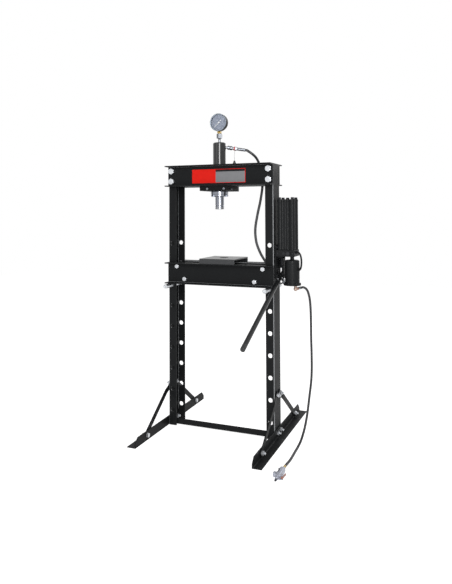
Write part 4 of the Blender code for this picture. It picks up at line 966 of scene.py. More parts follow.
@dataclass
class Gauge:
    """The pressure gauge, its stem, its coupling and its riser pipe."""

    pipe: float = 0.014
    coupling: float = 0.029
    rim: float = 0.0036
    wall: float = 0.003
    needle: float = 0.038
    tail: float = 0.020
    zero: float = -135.0  # degrees from upright
    sweep: float = 270.0
    marks: int = 50
    marks_per_figure: int = 10
    figure_size: float = 0.0072

    def build(self) -> None:
        """Builds the gauge above the cylinder."""
        centre, riser = middle("gauge_case"), middle("gauge_riser")
        self.riser(Matrix.Translation((riser.x, riser.y, 0)))
        self.case(centre)
        self.dial(centre)
        self.pointer(centre)

    def riser(self, at: Matrix) -> None:
        """The pipe and its hex coupling, and the brass stem above them."""
        low, high = (corner.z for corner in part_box("gauge_riser"))
        radius, base = self.pipe / 2, high - 0.028
        form = Form().rod(radius, low, base + 0.001, at)
        form.thread(self.pipe + 0.001, base - 0.007, base + 0.001, 0.0016, at)
        form.hexagon(self.coupling, high - base, at @ Matrix.Translation((0, 0, base)), both=True)
        form.piece("gauge_coupling", TURNED_ZINC, "frame", ["gauge_riser"])
        low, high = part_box("gauge_stem")
        stem = Form().box((low.x, low.y, low.z + 0.002), high).eased(0.001, 2)
        stem.rod(0.008, low.z, low.z + 0.003, at)
        stem.piece("gauge_brass_stem", BRASS, "frame", ["gauge_stem"])

    def case(self, centre: Vector) -> None:
        """The black case and bezel, the pale rim inside it, and the window."""
        low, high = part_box("gauge_case")
        radius, depth = (high.z - low.z) / 2 + 0.0003, high.y - low.y
        at = Axis.Y.frame((centre.x, low.y, centre.z))
        inner, back = radius - self.wall, depth - self.wall
        profile = [
            (0, depth), (radius * 0.35, depth), (radius * 0.40, depth - 0.002),
            (radius - 0.006, depth - 0.002), (radius - 0.001, depth - 0.007), (radius - 0.001, 0.011),
            (inner, 0.011), (inner, back), (0, back),
        ]  # fmt: skip
        drum = Form().lathe(profile, at, 80).eased(0.0006, 2, 20)
        drum.piece("gauge_drum", POWDER, "frame", ["gauge_case"])
        lip = radius - self.rim
        band = lip + 0.0022
        profile = [
            (band, 0.0004), (band + 0.0004, 0), (radius - 0.0008, 0), (radius, 0.0008),
            (radius, 0.0105), (inner - 0.0004, 0.0105), (inner - 0.0004, 0.0034), (band, 0.0034),
        ]  # fmt: skip
        Form().lathe(profile, at, 80, wrap=True).piece("gauge_bezel", GLOSS_BLACK, "frame")
        profile = [(lip, 0.0034), (lip, 0.0012), (band - 0.0001, 0.0005), (band - 0.0001, 0.0034)]
        Form().lathe(profile, at, 80, wrap=True).piece("gauge_rim", RIM, "frame")
        near, far = (corner.y - low.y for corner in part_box("gauge_lens"))
        pane = [(0, near - 0.0012), (lip * 0.6, near - 0.0009), (inner - 0.001, near)]
        pane += [(inner - 0.001, far), (0, far)]
        Form().lathe(pane, at, 64).piece("gauge_window", WINDOW, "frame", ["gauge_lens"])

    def dial(self, centre: Vector) -> None:
        """The dial card with its printed scale and figures."""
        low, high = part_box("gauge_dial")
        radius, face = (high.z - low.z) / 2, low.y
        place = Axis.Y.frame((centre.x, face, centre.z))
        card = [(0.0018, 0), (radius, 0), (radius, high.y - face), (0.0018, high.y - face)]
        Form().lathe(card, place, 80, wrap=True).piece("gauge_card", DIAL, "frame", ["gauge_dial"])
        scale = Form()
        for k in range(self.marks + 1):
            bold = k % self.marks_per_figure == 0
            turn = math.radians(self.zero + self.sweep * k / self.marks)
            spot = Matrix.Translation((centre.x, face, centre.z)) @ Matrix.Rotation(turn, 4, "Y")
            start, half = radius * (0.82 if bold else 0.87), 0.00045 if bold else 0.0002
            scale.box((-half, -0.0002, start), (half, 0, radius * 0.925), spot)
        near, far = radius * 0.925, radius * 0.94
        ring = [(near, 0), (far, 0), (far, 0.0002), (near, 0.0002)]
        scale.lathe(ring, Axis.Y.frame((centre.x, face - 0.0002, centre.z)), 80, wrap=True)
        scale.piece("gauge_scale", INK, "frame")
        steps = self.marks // self.marks_per_figure
        for k in range(steps + 1):
            turn = math.radians(self.zero + self.sweep * k / steps)
            spot = Vector((math.sin(turn), 0, math.cos(turn))) * radius * 0.66
            self.figure(str(k * 10), Vector((centre.x, face - 0.0002, centre.z)) + spot)

    def figure(self, text: str, at: Vector) -> None:
        """One of the scale's figures."""
        curve = bpy.data.curves.new(f"gauge_figure_{text}", "FONT")
        curve.body, curve.size, curve.extrude = text, self.figure_size, 0.0001
        curve.align_x, curve.align_y = "CENTER", "CENTER"
        obj = bpy.data.objects.new(curve.name, curve)
        bpy.context.scene.collection.objects.link(obj)
        obj.location, obj.rotation_euler = at, (math.pi / 2, 0, 0)
        bpy.context.view_layer.update()
        settle(obj, INK, "frame")

    def pointer(self, centre: Vector) -> None:
        """The tapered pointer on its domed hub."""
        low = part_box("gauge_needle")[0]
        turn = Matrix.Rotation(math.radians(self.zero), 4, "Y")
        spot = Matrix.Translation((centre.x, low.y + 0.001, centre.z)) @ turn
        right = [(0.0011, 0.010 - self.tail), (0.0016, 0), (0.0009, self.needle)]
        blade = right + [(-x, z) for x, z in right[::-1]]
        flat = Matrix(((1, 0, 0, 0), (0, 0, 1, 0), (0, 1, 0, 0), (0, 0, 0, 1)))
        form = Form().prism(blade, 0.0010, spot @ flat)
        form.prism(arc((0, 0.0035 - self.tail), 0.0035, 0, 345, 23), 0.0012, spot @ flat)
        hub = [(0, 0), (0.0025, 0.0002), (0.0042, 0.0012), (0.0042, 0.0035), (0.0015, 0.0035)]
        hub += [(0.0015, 0.008), (0, 0.008)]
        form.lathe(hub, Axis.Y.frame((centre.x, low.y, centre.z)), 32)
        form.piece("gauge_pointer", WHITE, "needle", ["gauge_needle"])


# ---------------------------------------------------------------- hoses
def smooth_path(route: Sequence[Point], spacing: float) -> list[Vector]:
    """Evenly spaced points on a smooth curve through a route's points.

    Args:
        route: the points that the curve passes through.
        spacing: the distance between the new points, in metres.

    Returns:
        The new points.
    """
    points = [Vector(point) for point in route]
    ends = [2 * points[0] - points[1], *points, 2 * points[-1] - points[-2]]
    fine = [points[0]]
    for before, a, b, after in zip(ends, ends[1:], ends[2:], ends[3:]):
        for step in range(1, 13):
            t = step / 12
            fine.append(
                0.5 * (2 * a + (b - before) * t + (2 * before - 5 * a + 4 * b - after) * t**2)
                + 0.5 * (3 * a - before - 3 * b + after) * t**3
            )
    lengths = [(b - a).length for a, b in zip(fine, fine[1:])]
    count = max(2, round(sum(lengths) / spacing))
    step = sum(lengths) / count
    path, passed = [fine[0]], 0.0
    for start, end, length in zip(fine, fine[1:], lengths):
        while len(path) < count and passed + length >= step * len(path):
            path.append(start.lerp(end, (step * len(path) - passed) / length))
        passed += length
    return [*path, fine[-1]]


def hose_path(
    start: Vector, leaving: Point, route: Sequence[Point], end: Vector, arriving: Point, diameter: float
) -> list[Vector]:
    """A hose's line, straight for a short way out of each fitting.

    Args:
        start: where it leaves the first fitting.
        leaving: the way in which it leaves.
        route: the points that it passes through.
        end: where it meets the second fitting.
        arriving: the way from the second fitting back along the hose.
        diameter: the hose's diameter.

    Returns:
        Points about a third of a diameter apart.
    """
    lead = 0.7 * diameter
    first, last = start + Vector(leaving) * lead, end + Vector(arriving) * lead
    bends = smooth_path((first, *route, last), 0.35 * diameter)
    stub = [start.lerp(first, k / 2) for k in range(2)]
    tail = [last.lerp(end, (k + 1) / 2) for k in range(2)]
    return [*stub, *bends, *tail]


@dataclass
class RamHose:
    """The coupler on the cylinder, its dust cap, the hydraulic hose and its swivel at the pump."""

    diameter: float = 0.015
    turn: float = 23.4  # degrees from +X towards +Y
    dip: float = 8.0  # degrees below level
    drop: float = 0.022  # below the cylinder's top
    # The diameter and the length of each fitting, from the cylinder outwards.
    nipple: tuple[float, float] = (0.014, 0.008)
    coupler: tuple[float, float] = (0.024, 0.028)
    neck: tuple[float, float] = (0.016, 0.026)
    ferrule: tuple[float, float] = (0.018, 0.050)
    ring_at: float = 0.048
    # The hose's way from the ferrule down to the pump, from the frame's middle.
    route: tuple[Point, ...] = (
        (0.157, 0.074, 1.565),
        (0.171, 0.101, 1.543),
        (0.181, 0.124, 1.508),
        (0.188, 0.134, 1.465),
        (0.195, 0.135, 1.39),
        (0.183, 0.133, 1.3),
        (0.163, 0.133, 1.212),
        (0.15, 0.132, 1.129),
        (0.156, 0.132, 1.056),
        (0.177, 0.133, 0.998),
        (0.203, 0.135, 0.953),
        (0.232, 0.138, 0.913),
        (0.26, 0.141, 0.882),
        (0.286, 0.142, 0.858),
        (0.308, 0.138, 0.843),
        (0.325, 0.127, 0.836),
        (0.335, 0.111, 0.834),
    )

    def way(self) -> Vector:
        """The direction in which the fittings leave the cylinder."""
        turn, dip = math.radians(self.turn), math.radians(self.dip)
        return Vector((math.cos(turn) * math.cos(dip), math.sin(turn) * math.cos(dip), -math.sin(dip)))

    def point(self, reach: float) -> Vector:
        """A point on the fittings' axis, that far out from the nipple's foot."""
        axis, top = middle("ram_rod"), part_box("ram_cylinder")[1].z
        lean = self.nipple[0] / 2 * math.tan(math.radians(self.dip)) + 0.0006
        out = RamUnit.cylinder / 2 + lean + reach
        return Vector((axis.x, axis.y, top - self.drop)) + self.way() * out

    def build(self) -> None:
        """Builds the fittings, the cap and the hose."""
        self.fittings()
        self.cap()
        pump_end = self.swivel()
        reach = self.nipple[1] + self.coupler[1] + self.neck[1] + self.ferrule[1] + SEAT
        start, origin = self.point(reach), frame_middle()
        route = [origin + Vector(point) for point in self.route]
        path = hose_path(start, self.way(), route, pump_end, (0, 1, 0), self.diameter)
        hose = Form().tube(path, self.diameter / 2, 20)
        hose = hose.piece("hydraulic_hose", BRAID, "frame", ["ram_hose"])

    def fittings(self) -> None:
        """The nipple, the knurled coupler, its neck and the crimped ferrule."""
        at = aimed(self.point(0), self.way())
        a = self.nipple[1]
        b = a + self.coupler[1]
        c = b + self.neck[1]
        d = c + self.ferrule[1]
        stub, body = self.nipple[0] / 2, self.coupler[0] / 2
        neck, sleeve = self.neck[0] / 2, self.ferrule[0] / 2
        profile = [
            (0, 0), (stub, 0), (stub, a), (body - 0.001, a), (body, a + 0.001), (body, a + 0.010),
            (body - 0.0015, a + 0.0115), (body - 0.0015, a + 0.0135), (body, a + 0.015),
            (body, b - 0.001), (body - 0.001, b), (neck, b), (neck, c), (sleeve - 0.0005, c),
        ]  # fmt: skip
        bands = 6
        for k in range(bands):
            start, step = c + (d - c) * k / bands, (d - c) / bands
            profile += [(sleeve, start + 0.15 * step), (sleeve, start + 0.8 * step)]
            profile.append((sleeve - 0.0007, start + step))
        profile.append((0, d))
        form = Form().lathe(profile, at, 48)
        form.hexagon(self.neck[0] * 1.22, 0.010, at @ Matrix.Translation((0, 0, c - 0.011)), both=True)
        form.piece("hose_coupler_set", TURNED_ZINC, "frame", ["hose_coupler"])

    def cap(self) -> None:
        """The dust cap: a red ring round the neck, a thin leash and a black cone."""
        at = aimed(self.point(self.ring_at), self.way())
        inner, outer, half = self.neck[0] / 2 + 0.0005, 0.0112, 0.0040
        band = [
            (inner, -half), (outer - 0.001, -half), (outer, 0.001 - half), (outer, half - 0.001),
            (outer - 0.001, half), (inner, half),
        ]  # fmt: skip
        Form().lathe(band, at, 40, wrap=True).piece("dust_cap_ring", RED_PLASTIC, "cap", ["dust_cap"])
        low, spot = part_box("dust_cap")[0].z, self.point(self.ring_at)
        base = Matrix.Translation((spot.x, spot.y, low))
        cone = [(0, 0.003), (0.006, 0.003), (0.007, 0), (0.0088, 0), (0.009, 0.006), (0.0065, 0.008)]
        cone += [(0.0052, 0.016), (0.003, 0.018), (0, 0.018)]
        Form().lathe(cone, base, 36).piece("dust_cap_cone", BLACK_PLASTIC, "cap")
        sway = [(0, spot.z - outer - low), (0.0016, 0.065), (-0.0012, 0.045), (0.0008, 0.030), (0, 0.017)]
        line = smooth_path([Vector((spot.x + x, spot.y, low + z)) for x, z in sway], 0.003)
        Form().tube(line, 0.0008, 8).piece("dust_cap_leash", VINYL_GREY, "cap")

    def swivel(self) -> Vector:
        """The outlet pipe behind the manifold, and the swivel nut on its foot.

        Returns:
            The face of the nut that the hose meets.
        """
        low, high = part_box("pump_outlet")
        x, top = (low.x + high.x) / 2, high.z - 0.008
        foot = low.z + 0.0087
        back = low.y + 0.013
        form = Form().hexagon(0.016, 0.020, Axis.Y.frame((x, low.y, top)), both=True)
        bend = [(low.y + 0.014, top), (back, top - 0.012), (back, foot + 0.012)]
        bend += [(back + 0.004, foot + 0.003), (back + 0.012, foot)]
        line = smooth_path([Vector((x, y, z)) for y, z in bend], 0.004)
        form.tube(line, 0.005, 16)
        form.hexagon(0.018, 0.012, Axis.Y.frame((x, back + 0.004, foot)), both=True)
        sleeve = [(0, 0), (0.0085, 0), (0.009, 0.001), (0.009, 0.006), (0.0083, 0.007), (0, 0.007)]
        form.lathe(sleeve, Axis.Y.frame((x, high.y - 0.007, foot)), 36)
        form.piece("pump_outlet_pipe", TURNED_ZINC, "frame", ["pump_outlet"])
        return Vector((x, high.y + SEAT, foot))


# ---------------------------------------------------------------- bed
@dataclass
class Bed:
    """The two bed beams, their bolts, the arbor plate and the two pins."""

    plate_wall: float = 0.007
    plate_hole: float = 0.050
    sleeve: tuple[float, float] = (0.022, 0.1214)
    pin_radius: float = 0.012

    def build(self) -> None:
        """Builds the bed and what lies on it and under it."""
        for side, word in ((-1, "front"), (1, "rear")):
            Channel().build(f"bed_beam_{word}", Vector((0, -side, 0)), Axis.Z, Axis.X, "bed")
        for word in ("left", "right"):
            for height in ("lower", "upper"):
                bolt = Bolt(0.016, 0.6, 0.7, flats=1.38)
                bolt.through(f"bed_bolt_{word}_{height}", Axis.Y, "bed", self.sleeve)
            self.pin(f"bed_pin_{word}", f"pin_{word}")
        self.arbor_plate()

    def arbor_plate(self) -> None:
        """A channel laid open side down, with a round hole in its top."""
        low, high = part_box("arbor_plate")
        wall, top = self.plate_wall, high.z - low.z
        left, right = low.y, high.y
        soft, tight = 0.006, 0.002
        outline = [(left, 0), (left + wall, 0)]
        outline += arc((left + wall + tight, top - wall - tight), tight, 180, 90, 3)
        outline += arc((right - wall - tight, top - wall - tight), tight, 90, 0, 3)
        outline += [(right - wall, 0), (right, 0), *arc((right - soft, top - soft), soft, 0, 90)]
        outline += arc((left + soft, top - soft), soft, 90, 180)
        plate = Form().prism(outline, high.x - low.x, along_x(low.x, low.z))
        centre, radius = (low + high) / 2, self.plate_hole / 2
        plate.bored(Form().rod(radius, -0.05, 0.05, Matrix.Translation(centre), 64))
        plate.eased(0.0009, 2, 45).piece("arbor_plate_pressing", MILL, "arbor", ["arbor_plate"])
        # A near-black ring on the hole's wall and a thin band of the top round it: painted shade that
        # makes the hole read darker and wider.
        near, far, skin = radius - 0.0005, radius + 0.0035, 0.0002
        shade_profile = [(near, high.z - wall), (near, high.z + skin), (far, high.z + skin), (far, high.z)]
        shade_profile += [(radius - 0.0001, high.z), (radius - 0.0001, high.z - wall)]
        ring = Form().lathe(shade_profile, Matrix.Translation((centre.x, centre.y, 0)), 64, wrap=True)
        ring.piece("arbor_plate_painted_shade_ring", BLACK_STEEL, "arbor")

    def pin(self, node: str, body: str) -> None:
        """A zinc-plated pin with chamfered ends and a shallow centre mark at its front."""
        low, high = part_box(node)
        centre, length, radius = (low + high) / 2, high.y - low.y, self.pin_radius
        profile = [
            (0, 0.0015), (0.002, 0.0008), (0.003, 0), (radius - 0.0025, 0), (radius, 0.0025),
            (radius, length - 0.0025), (radius - 0.0025, length), (0, length),
        ]  # fmt: skip
        at = Axis.Y.frame((centre.x, low.y, centre.z))
        Form().lathe(profile, at, 48).piece(f"{node}_turned", ZINC, body, [node], 30)


# ---------------------------------------------------------------- pump
@dataclass
class Pump:
    """The bracket, manifold, oil tank, air motor, transfer pipe and release knob."""

    bracket_wall: float = 0.008
    ear_wall: float = 0.005
    shelf_wall: float = 0.011
    ear_depth: float = 0.034
    tank_half: float = 0.041
    lobe: float = 0.015  # the radius of the lobe at each corner
    lobe_at: float = 0.0335
    tie_at: float = 0.0365
    drum: float = 0.040  # the motor's radius
    pipe: float = 0.010
    pipe_top: float = 0.024  # above the valve block's foot
    pipe_foot: float = 0.071  # below the valve block's foot
    pipe_aside: float = 0.007  # in front of the motor's axis
    pipe_route: tuple[Point, ...] = (
        (0.129, -0.012, 0.020),
        (0.137, -0.012, 0.006),
        (0.141, -0.012, -0.012),
        (0.142, -0.012, -0.030),
        (0.141, -0.012, -0.048),
        (0.138, -0.012, -0.062),
    )

    def build(self) -> None:
        """Builds everything that is bolted to the bracket."""
        self.bracket()
        self.manifold()
        self.tank()
        self.motor()
        self.transfer()
        self.knob()

    def bracket(self) -> None:
        """The bracket's plate, shelf and ear, and its four bolts."""
        low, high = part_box("pump_bracket")
        wall, start, shelf = self.bracket_wall, low.x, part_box("manifold")[0].z - SEAT
        form = Form().box((start, low.y, low.z), (start + wall, high.y, high.z))
        origin = frame_middle()
        front, back = origin.y - 0.6 * self.ear_depth, origin.y + 0.4 * self.ear_depth
        form.box((start + wall / 2, front, shelf - self.shelf_wall), (high.x, back, shelf))
        form.box((high.x - self.ear_wall, front, low.z), (high.x, back, shelf))
        form.eased(0.001, 2, 45).piece("pump_bracket_weldment", ENAMEL, "frame", ["pump_bracket"])
        bolts = Form()
        for y in (low.y + 0.013, high.y - 0.013):
            for z in (low.z + 0.016, high.z - 0.014):
                Bolt(0.008).head_on(bolts, Axis.X.frame((start + wall, y, z)))
        bolts.piece("pump_bracket_bolts", BLACK_STEEL, "frame")

    def manifold(self) -> None:
        """The valve block, with a socket plug and two socket screws in its front face."""
        low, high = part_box("manifold")
        Form().box(low, high).eased(0.0016, 3).piece("valve_block", POWDER, "frame", ["manifold"])
        z = (low.z + high.z) / 2
        fittings = Form()
        plug = (low.x + 0.045, 0.007, 0.0025)
        for x, radius, proud in (plug, (low.x + 0.012, 0.0045, 0.003), (high.x - 0.010, 0.0045, 0.003)):
            socket = radius * 0.5
            profile = [
                (0, proud - 0.002), (socket, proud - 0.002), (socket, proud), (radius - 0.0006, proud),
                (radius, proud - 0.0006), (radius, -0.001), (0, -0.001),
            ]  # fmt: skip
            fittings.lathe(profile, Axis.Y.frame((x, low.y, z), back=True), 36)
        fittings.piece("valve_block_plugs", BLACK_STEEL, "frame")

    def tank_outline(self, inset: float = 0.0) -> Outline:
        """The extruded tank's section: four lobes, and three flutes in each flat side."""
        half, lobe, reach = self.tank_half - inset, self.lobe - inset, self.lobe_at
        dip = math.degrees(math.acos((half - reach) / lobe))
        points = []
        for corner in range(4):
            turn = Matrix.Rotation(math.radians(90 * corner), 2)
            side = [Vector(p) for p in arc((reach, reach), lobe, -dip, 90 + dip, 16)]
            edge = side[-1].x
            for k in range(3):
                at = edge - (k + 0.5) * 2 * edge / 3
                width, deep = 0.0032, 0.0022
                flute = ((at + width, half), (at, half - deep), (at - width, half))
                side += [Vector(p) for p in flute]
            points += [tuple(turn @ p) for p in side]
        return points

    def tank(self) -> None:
        """The finned oil tank, its lid with a filler cap, and the four tie bolts."""
        low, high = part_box("oil_tank")
        x, y = (low.x + high.x) / 2, (low.y + high.y) / 2
        form = Form().prism(self.tank_outline(), high.z - low.z, Matrix.Translation((x, y, low.z)))
        form.eased(0.0007, 2, 50).piece("oil_tank_extrusion", POWDER, "frame", ["oil_tank"], 35)
        low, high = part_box("tank_lid")
        plate = high.z - 0.010 - low.z
        lid = Form().prism(self.tank_outline(-0.0008), plate, Matrix.Translation((x, y, low.z)))
        lid.eased(0.0012, 2, 50)
        cap = [(0, 0), (0.0095, 0), (0.0095, 0.007), (0.0085, 0.0085), (0.004, 0.0095), (0, 0.0098)]
        lid.lathe(cap, Matrix.Translation((x, y, low.z + plate)), 40)
        lid.piece("oil_tank_lid", POWDER, "frame", ["tank_lid"])
        ties = Form()
        for side_x in (-1, 1):
            for side_y in (-1, 1):
                spot = (x + side_x * self.tie_at, y + side_y * self.tie_at, low.z + plate)
                Bolt(0.011, 0.85, 0.8).head_on(ties, Matrix.Translation(spot))
        ties.piece("oil_tank_tie_bolts", BLACK_STEEL, "frame")

    def motor(self) -> None:
        """The air motor: a drum on a flange, a neck up to the valve block, and flange screws."""
        low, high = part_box("air_motor")
        centre = (low + high) / 2
        at = Matrix.Translation((centre.x, centre.y, low.z))
        flange, drum, neck, tall = 0.0475, self.drum, 0.011, high.z - low.z
        shoulder = tall - 0.0197
        profile = [
            (0, 0), (flange - 0.001, 0), (flange, 0.001), (flange, 0.009), (flange - 0.001, 0.010),
            (drum, 0.010), (drum, 0.030), (drum - 0.0008, 0.0308), (drum - 0.0008, 0.0322), (drum, 0.033),
            (drum, shoulder - 0.016), (drum - 0.0008, shoulder - 0.0152),
            (drum - 0.0008, shoulder - 0.0138), (drum, shoulder - 0.013), (drum, shoulder - 0.007),
            (drum - 0.002, shoulder - 0.002),
            (drum - 0.007, shoulder), (neck + 0.004, shoulder), (neck, shoulder + 0.004),
            (neck, tall), (0, tall),
        ]  # fmt: skip
        form = Form().lathe(profile, at, 80).eased(0.0005, 2, 30)
        form.piece("air_motor_drum", POWDER, "frame", ["air_motor"], 35)
        screws, head = Form(), [(0, 0.004), (0.0028, 0.004), (0.0032, 0.0035), (0.0032, 0), (0, 0)]
        for k in range(6):
            turn, circle = math.radians(60 * k + 15), 0.0436
            spot = at @ Vector((circle * math.cos(turn), circle * math.sin(turn), 0.010))
            screws.lathe(head, Matrix.Translation(spot), 24)
        screws.piece("air_motor_screws", BLACK_STEEL, "frame")

    def transfer(self) -> None:
        """The pipe from the valve block round to the air motor, with a nut at each end."""
        block_low, block_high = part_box("manifold")
        origin = frame_middle()
        low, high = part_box("transfer_pipe")
        y, radius = (low.y + high.y) / 2, self.pipe / 2
        start = Vector((block_high.x + SEAT, y, block_low.z + self.pipe_top))
        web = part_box("upright_right")[1].x
        route = [Vector((web, origin.y, block_low.z)) + Vector(point) for point in self.pipe_route]
        motor = middle("air_motor")
        reach = math.sqrt(self.drum**2 - self.pipe_aside**2) + SEAT
        end = Vector((motor.x + reach, y, block_low.z - self.pipe_foot))
        path = hose_path(start, (1, 0, 0), route, end, (1, 0, 0), self.pipe)
        form = Form().tube(path, radius, 20)
        form.hexagon(0.0145, 0.007, Axis.X.frame(start), both=True)
        form.hexagon(0.0145, 0.006, Axis.X.frame(end), both=True)
        form.piece("transfer_pipe_bent", ENAMEL, "frame", ["transfer_pipe"])

    def knob(self) -> None:
        """The release knob: a knurled wheel on a short stem."""
        low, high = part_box("release_knob")
        centre = (low + high) / 2
        at = Axis.Y.frame((centre.x, low.y, centre.z))
        radius, face, ridges = 0.0118, 0.018, 30
        outline = []
        for k in range(2 * ridges):
            turn = math.pi * k / ridges
            reach = radius - (0.0007 if k % 2 else 0.0)
            outline.append((reach * math.cos(turn), reach * math.sin(turn)))
        form = Form().prism(outline, face - 0.004, at @ Matrix.Translation((0, 0, 0.002)))
        cap = [(0, 0), (radius - 0.003, 0), (radius - 0.001, 0.0022), (0, 0.0022)]
        form.lathe(cap, at, 40)
        stem = [(0, face - 0.0025), (0.008, face - 0.0025), (0.008, face), (0.004, face)]
        form.lathe([*stem, (0.004, 0.03), (0, 0.03)], at, 36)
        form.piece("release_knob_wheel", BLACK_STEEL, "release", ["release_knob"], 25)


@dataclass
class HandPump:
    """The hand pump under the valve block: barrel, plunger, lever and bar."""

    drop: float = 23.6  # degrees below level
    bar: float = 0.020
    bar_start: float = 0.028
    bar_end: float = 0.690
    grip: float = 0.024  # the bar's diameter beyond its socket
    socket: float = 0.025
    socket_end: float = 0.080
    boss: float = 0.026
    arm: float = 0.034
    nose: float = 0.014

    def build(self) -> None:
        """Builds the hand pump about its fulcrum."""
        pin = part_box("fulcrum_pin")
        fulcrum = pivot_of("handle")
        radius, head, tall = 0.005, 0.0078, 0.0025
        shank = pin[1].x - pin[0].x - tall
        profile = [(0, 0), (radius, 0), (radius, shank), (head, shank), (head, shank + 0.0018)]
        profile += [(0.007, shank + tall), (0, shank + tall)]
        form = Form().lathe(profile, Axis.X.frame((pin[0].x, fulcrum.y, fulcrum.z)), 36)
        form.piece("fulcrum_pin_turned", BLACK_STEEL, "frame", ["fulcrum_pin"])
        self.barrel()
        self.lever(fulcrum)

    def barrel(self) -> None:
        """The barrel with its gland nut, and the chrome plunger."""
        low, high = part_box("pump_barrel")
        centre = (low + high) / 2
        at = Matrix.Translation((centre.x, centre.y, low.z))
        tall, radius = high.z - low.z, 0.015
        profile = [
            (0.0063, 0), (radius - 0.0035, 0), (radius - 0.002, 0.0015), (radius - 0.002, 0.012),
            (radius, 0.0135), (radius, tall), (0.0063, tall),
        ]  # fmt: skip
        form = Form().lathe(profile, at, 48, wrap=True).eased(0.0005, 2, 30)
        form.hexagon(0.026, 0.010, at @ Matrix.Translation((0, 0, 0.0015)), both=True)
        form.piece("pump_barrel_turned", BLACK_STEEL, "frame", ["pump_barrel"])
        low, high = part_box("pump_plunger")
        at = Matrix.Translation((centre.x, centre.y, low.z))
        tall = high.z - low.z
        profile = [(0, 0), (0.005, 0), (0.006, 0.001), (0.006, tall), (0, tall)]
        Form().lathe(profile, at, 36).piece("pump_plunger_rod", CHROME, "plunger", ["pump_plunger"])

    def lever(self, fulcrum: Vector) -> None:
        """The forged lever and the long bar in its socket."""
        tilt = Matrix.Translation(fulcrum) @ Matrix.Rotation(math.radians(self.drop), 4, "X")
        low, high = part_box("pump_lever")
        left, width, boss = low.x - fulcrum.x, high.x - low.x, self.boss / 2
        form = Form()
        hub = [(0.0053, 0), (boss - 0.001, 0), (boss, 0.001), (boss, width - 0.001)]
        hub += [(boss - 0.001, width), (0.0053, width)]
        form.lathe(hub, tilt @ Axis.X.frame((left, 0, 0)), 48, wrap=True)
        sleeve, inner = self.socket / 2, self.bar / 2 + SEAT
        profile = [
            (inner, 0), (inner, -self.socket_end + 0.0005), (inner + 0.0008, -self.socket_end),
            (sleeve - 0.0008, -self.socket_end), (sleeve, -self.socket_end + 0.001), (sleeve, 0),
        ]  # fmt: skip
        form.lathe([(r, -z) for r, z in profile], tilt @ Axis.Y.frame(back=True), 48, wrap=True)
        half, nose = 0.0062, self.nose / 2
        tip = arc((self.arm, 0), nose, -90, 90, 12)
        arm = [(0, -nose * 0.8), (self.arm, -nose), *tip, (0, nose * 0.8)]
        form.prism(arm, 2 * half, tilt @ along_x(-half))
        form.eased(0.0006, 2, 50).piece("pump_lever_forging", GLOSS_ENAMEL, "handle", ["pump_lever"])
        screw = Form()
        seat = Matrix.Translation((0, -self.socket_end + 0.014, sleeve - 0.0005))
        Bolt(0.006).head_on(screw, tilt @ seat, washer=False)
        screw.piece("pump_lever_screw", ZINC, "handle")
        start, end, radius, inner = self.bar_start, self.bar_end, self.grip / 2, self.bar / 2
        mouth = self.socket_end + 0.001
        bar = [
            (0, start), (inner, start), (inner, mouth), (radius - 0.001, mouth), (radius, mouth + 0.001),
            (radius, end - 0.034), (radius - 0.0006, end - 0.0335), (radius - 0.0006, end - 0.032),
            (0, end - 0.032),
        ]  # fmt: skip
        at = tilt @ Axis.Y.frame(back=True)
        Form().lathe(bar, at, 48).piece("handle_bar_tube", GLOSS_ENAMEL, "handle", ["handle_bar"], 30)
        cap = [(0, end - 0.033), (radius + 0.0002, end - 0.033), (radius + 0.0002, end - 0.004)]
        cap += [(x, end - 0.004 + z) for x, z in arc((0, 0), radius, 0, 90, 6)[1:-1]]
        cap = [(r, min(z, end)) for r, z in cap]
        Form().lathe([*cap, (0, end)], at, 48).piece("handle_bar_cap", BLACK_PLASTIC, "handle", (), 50)


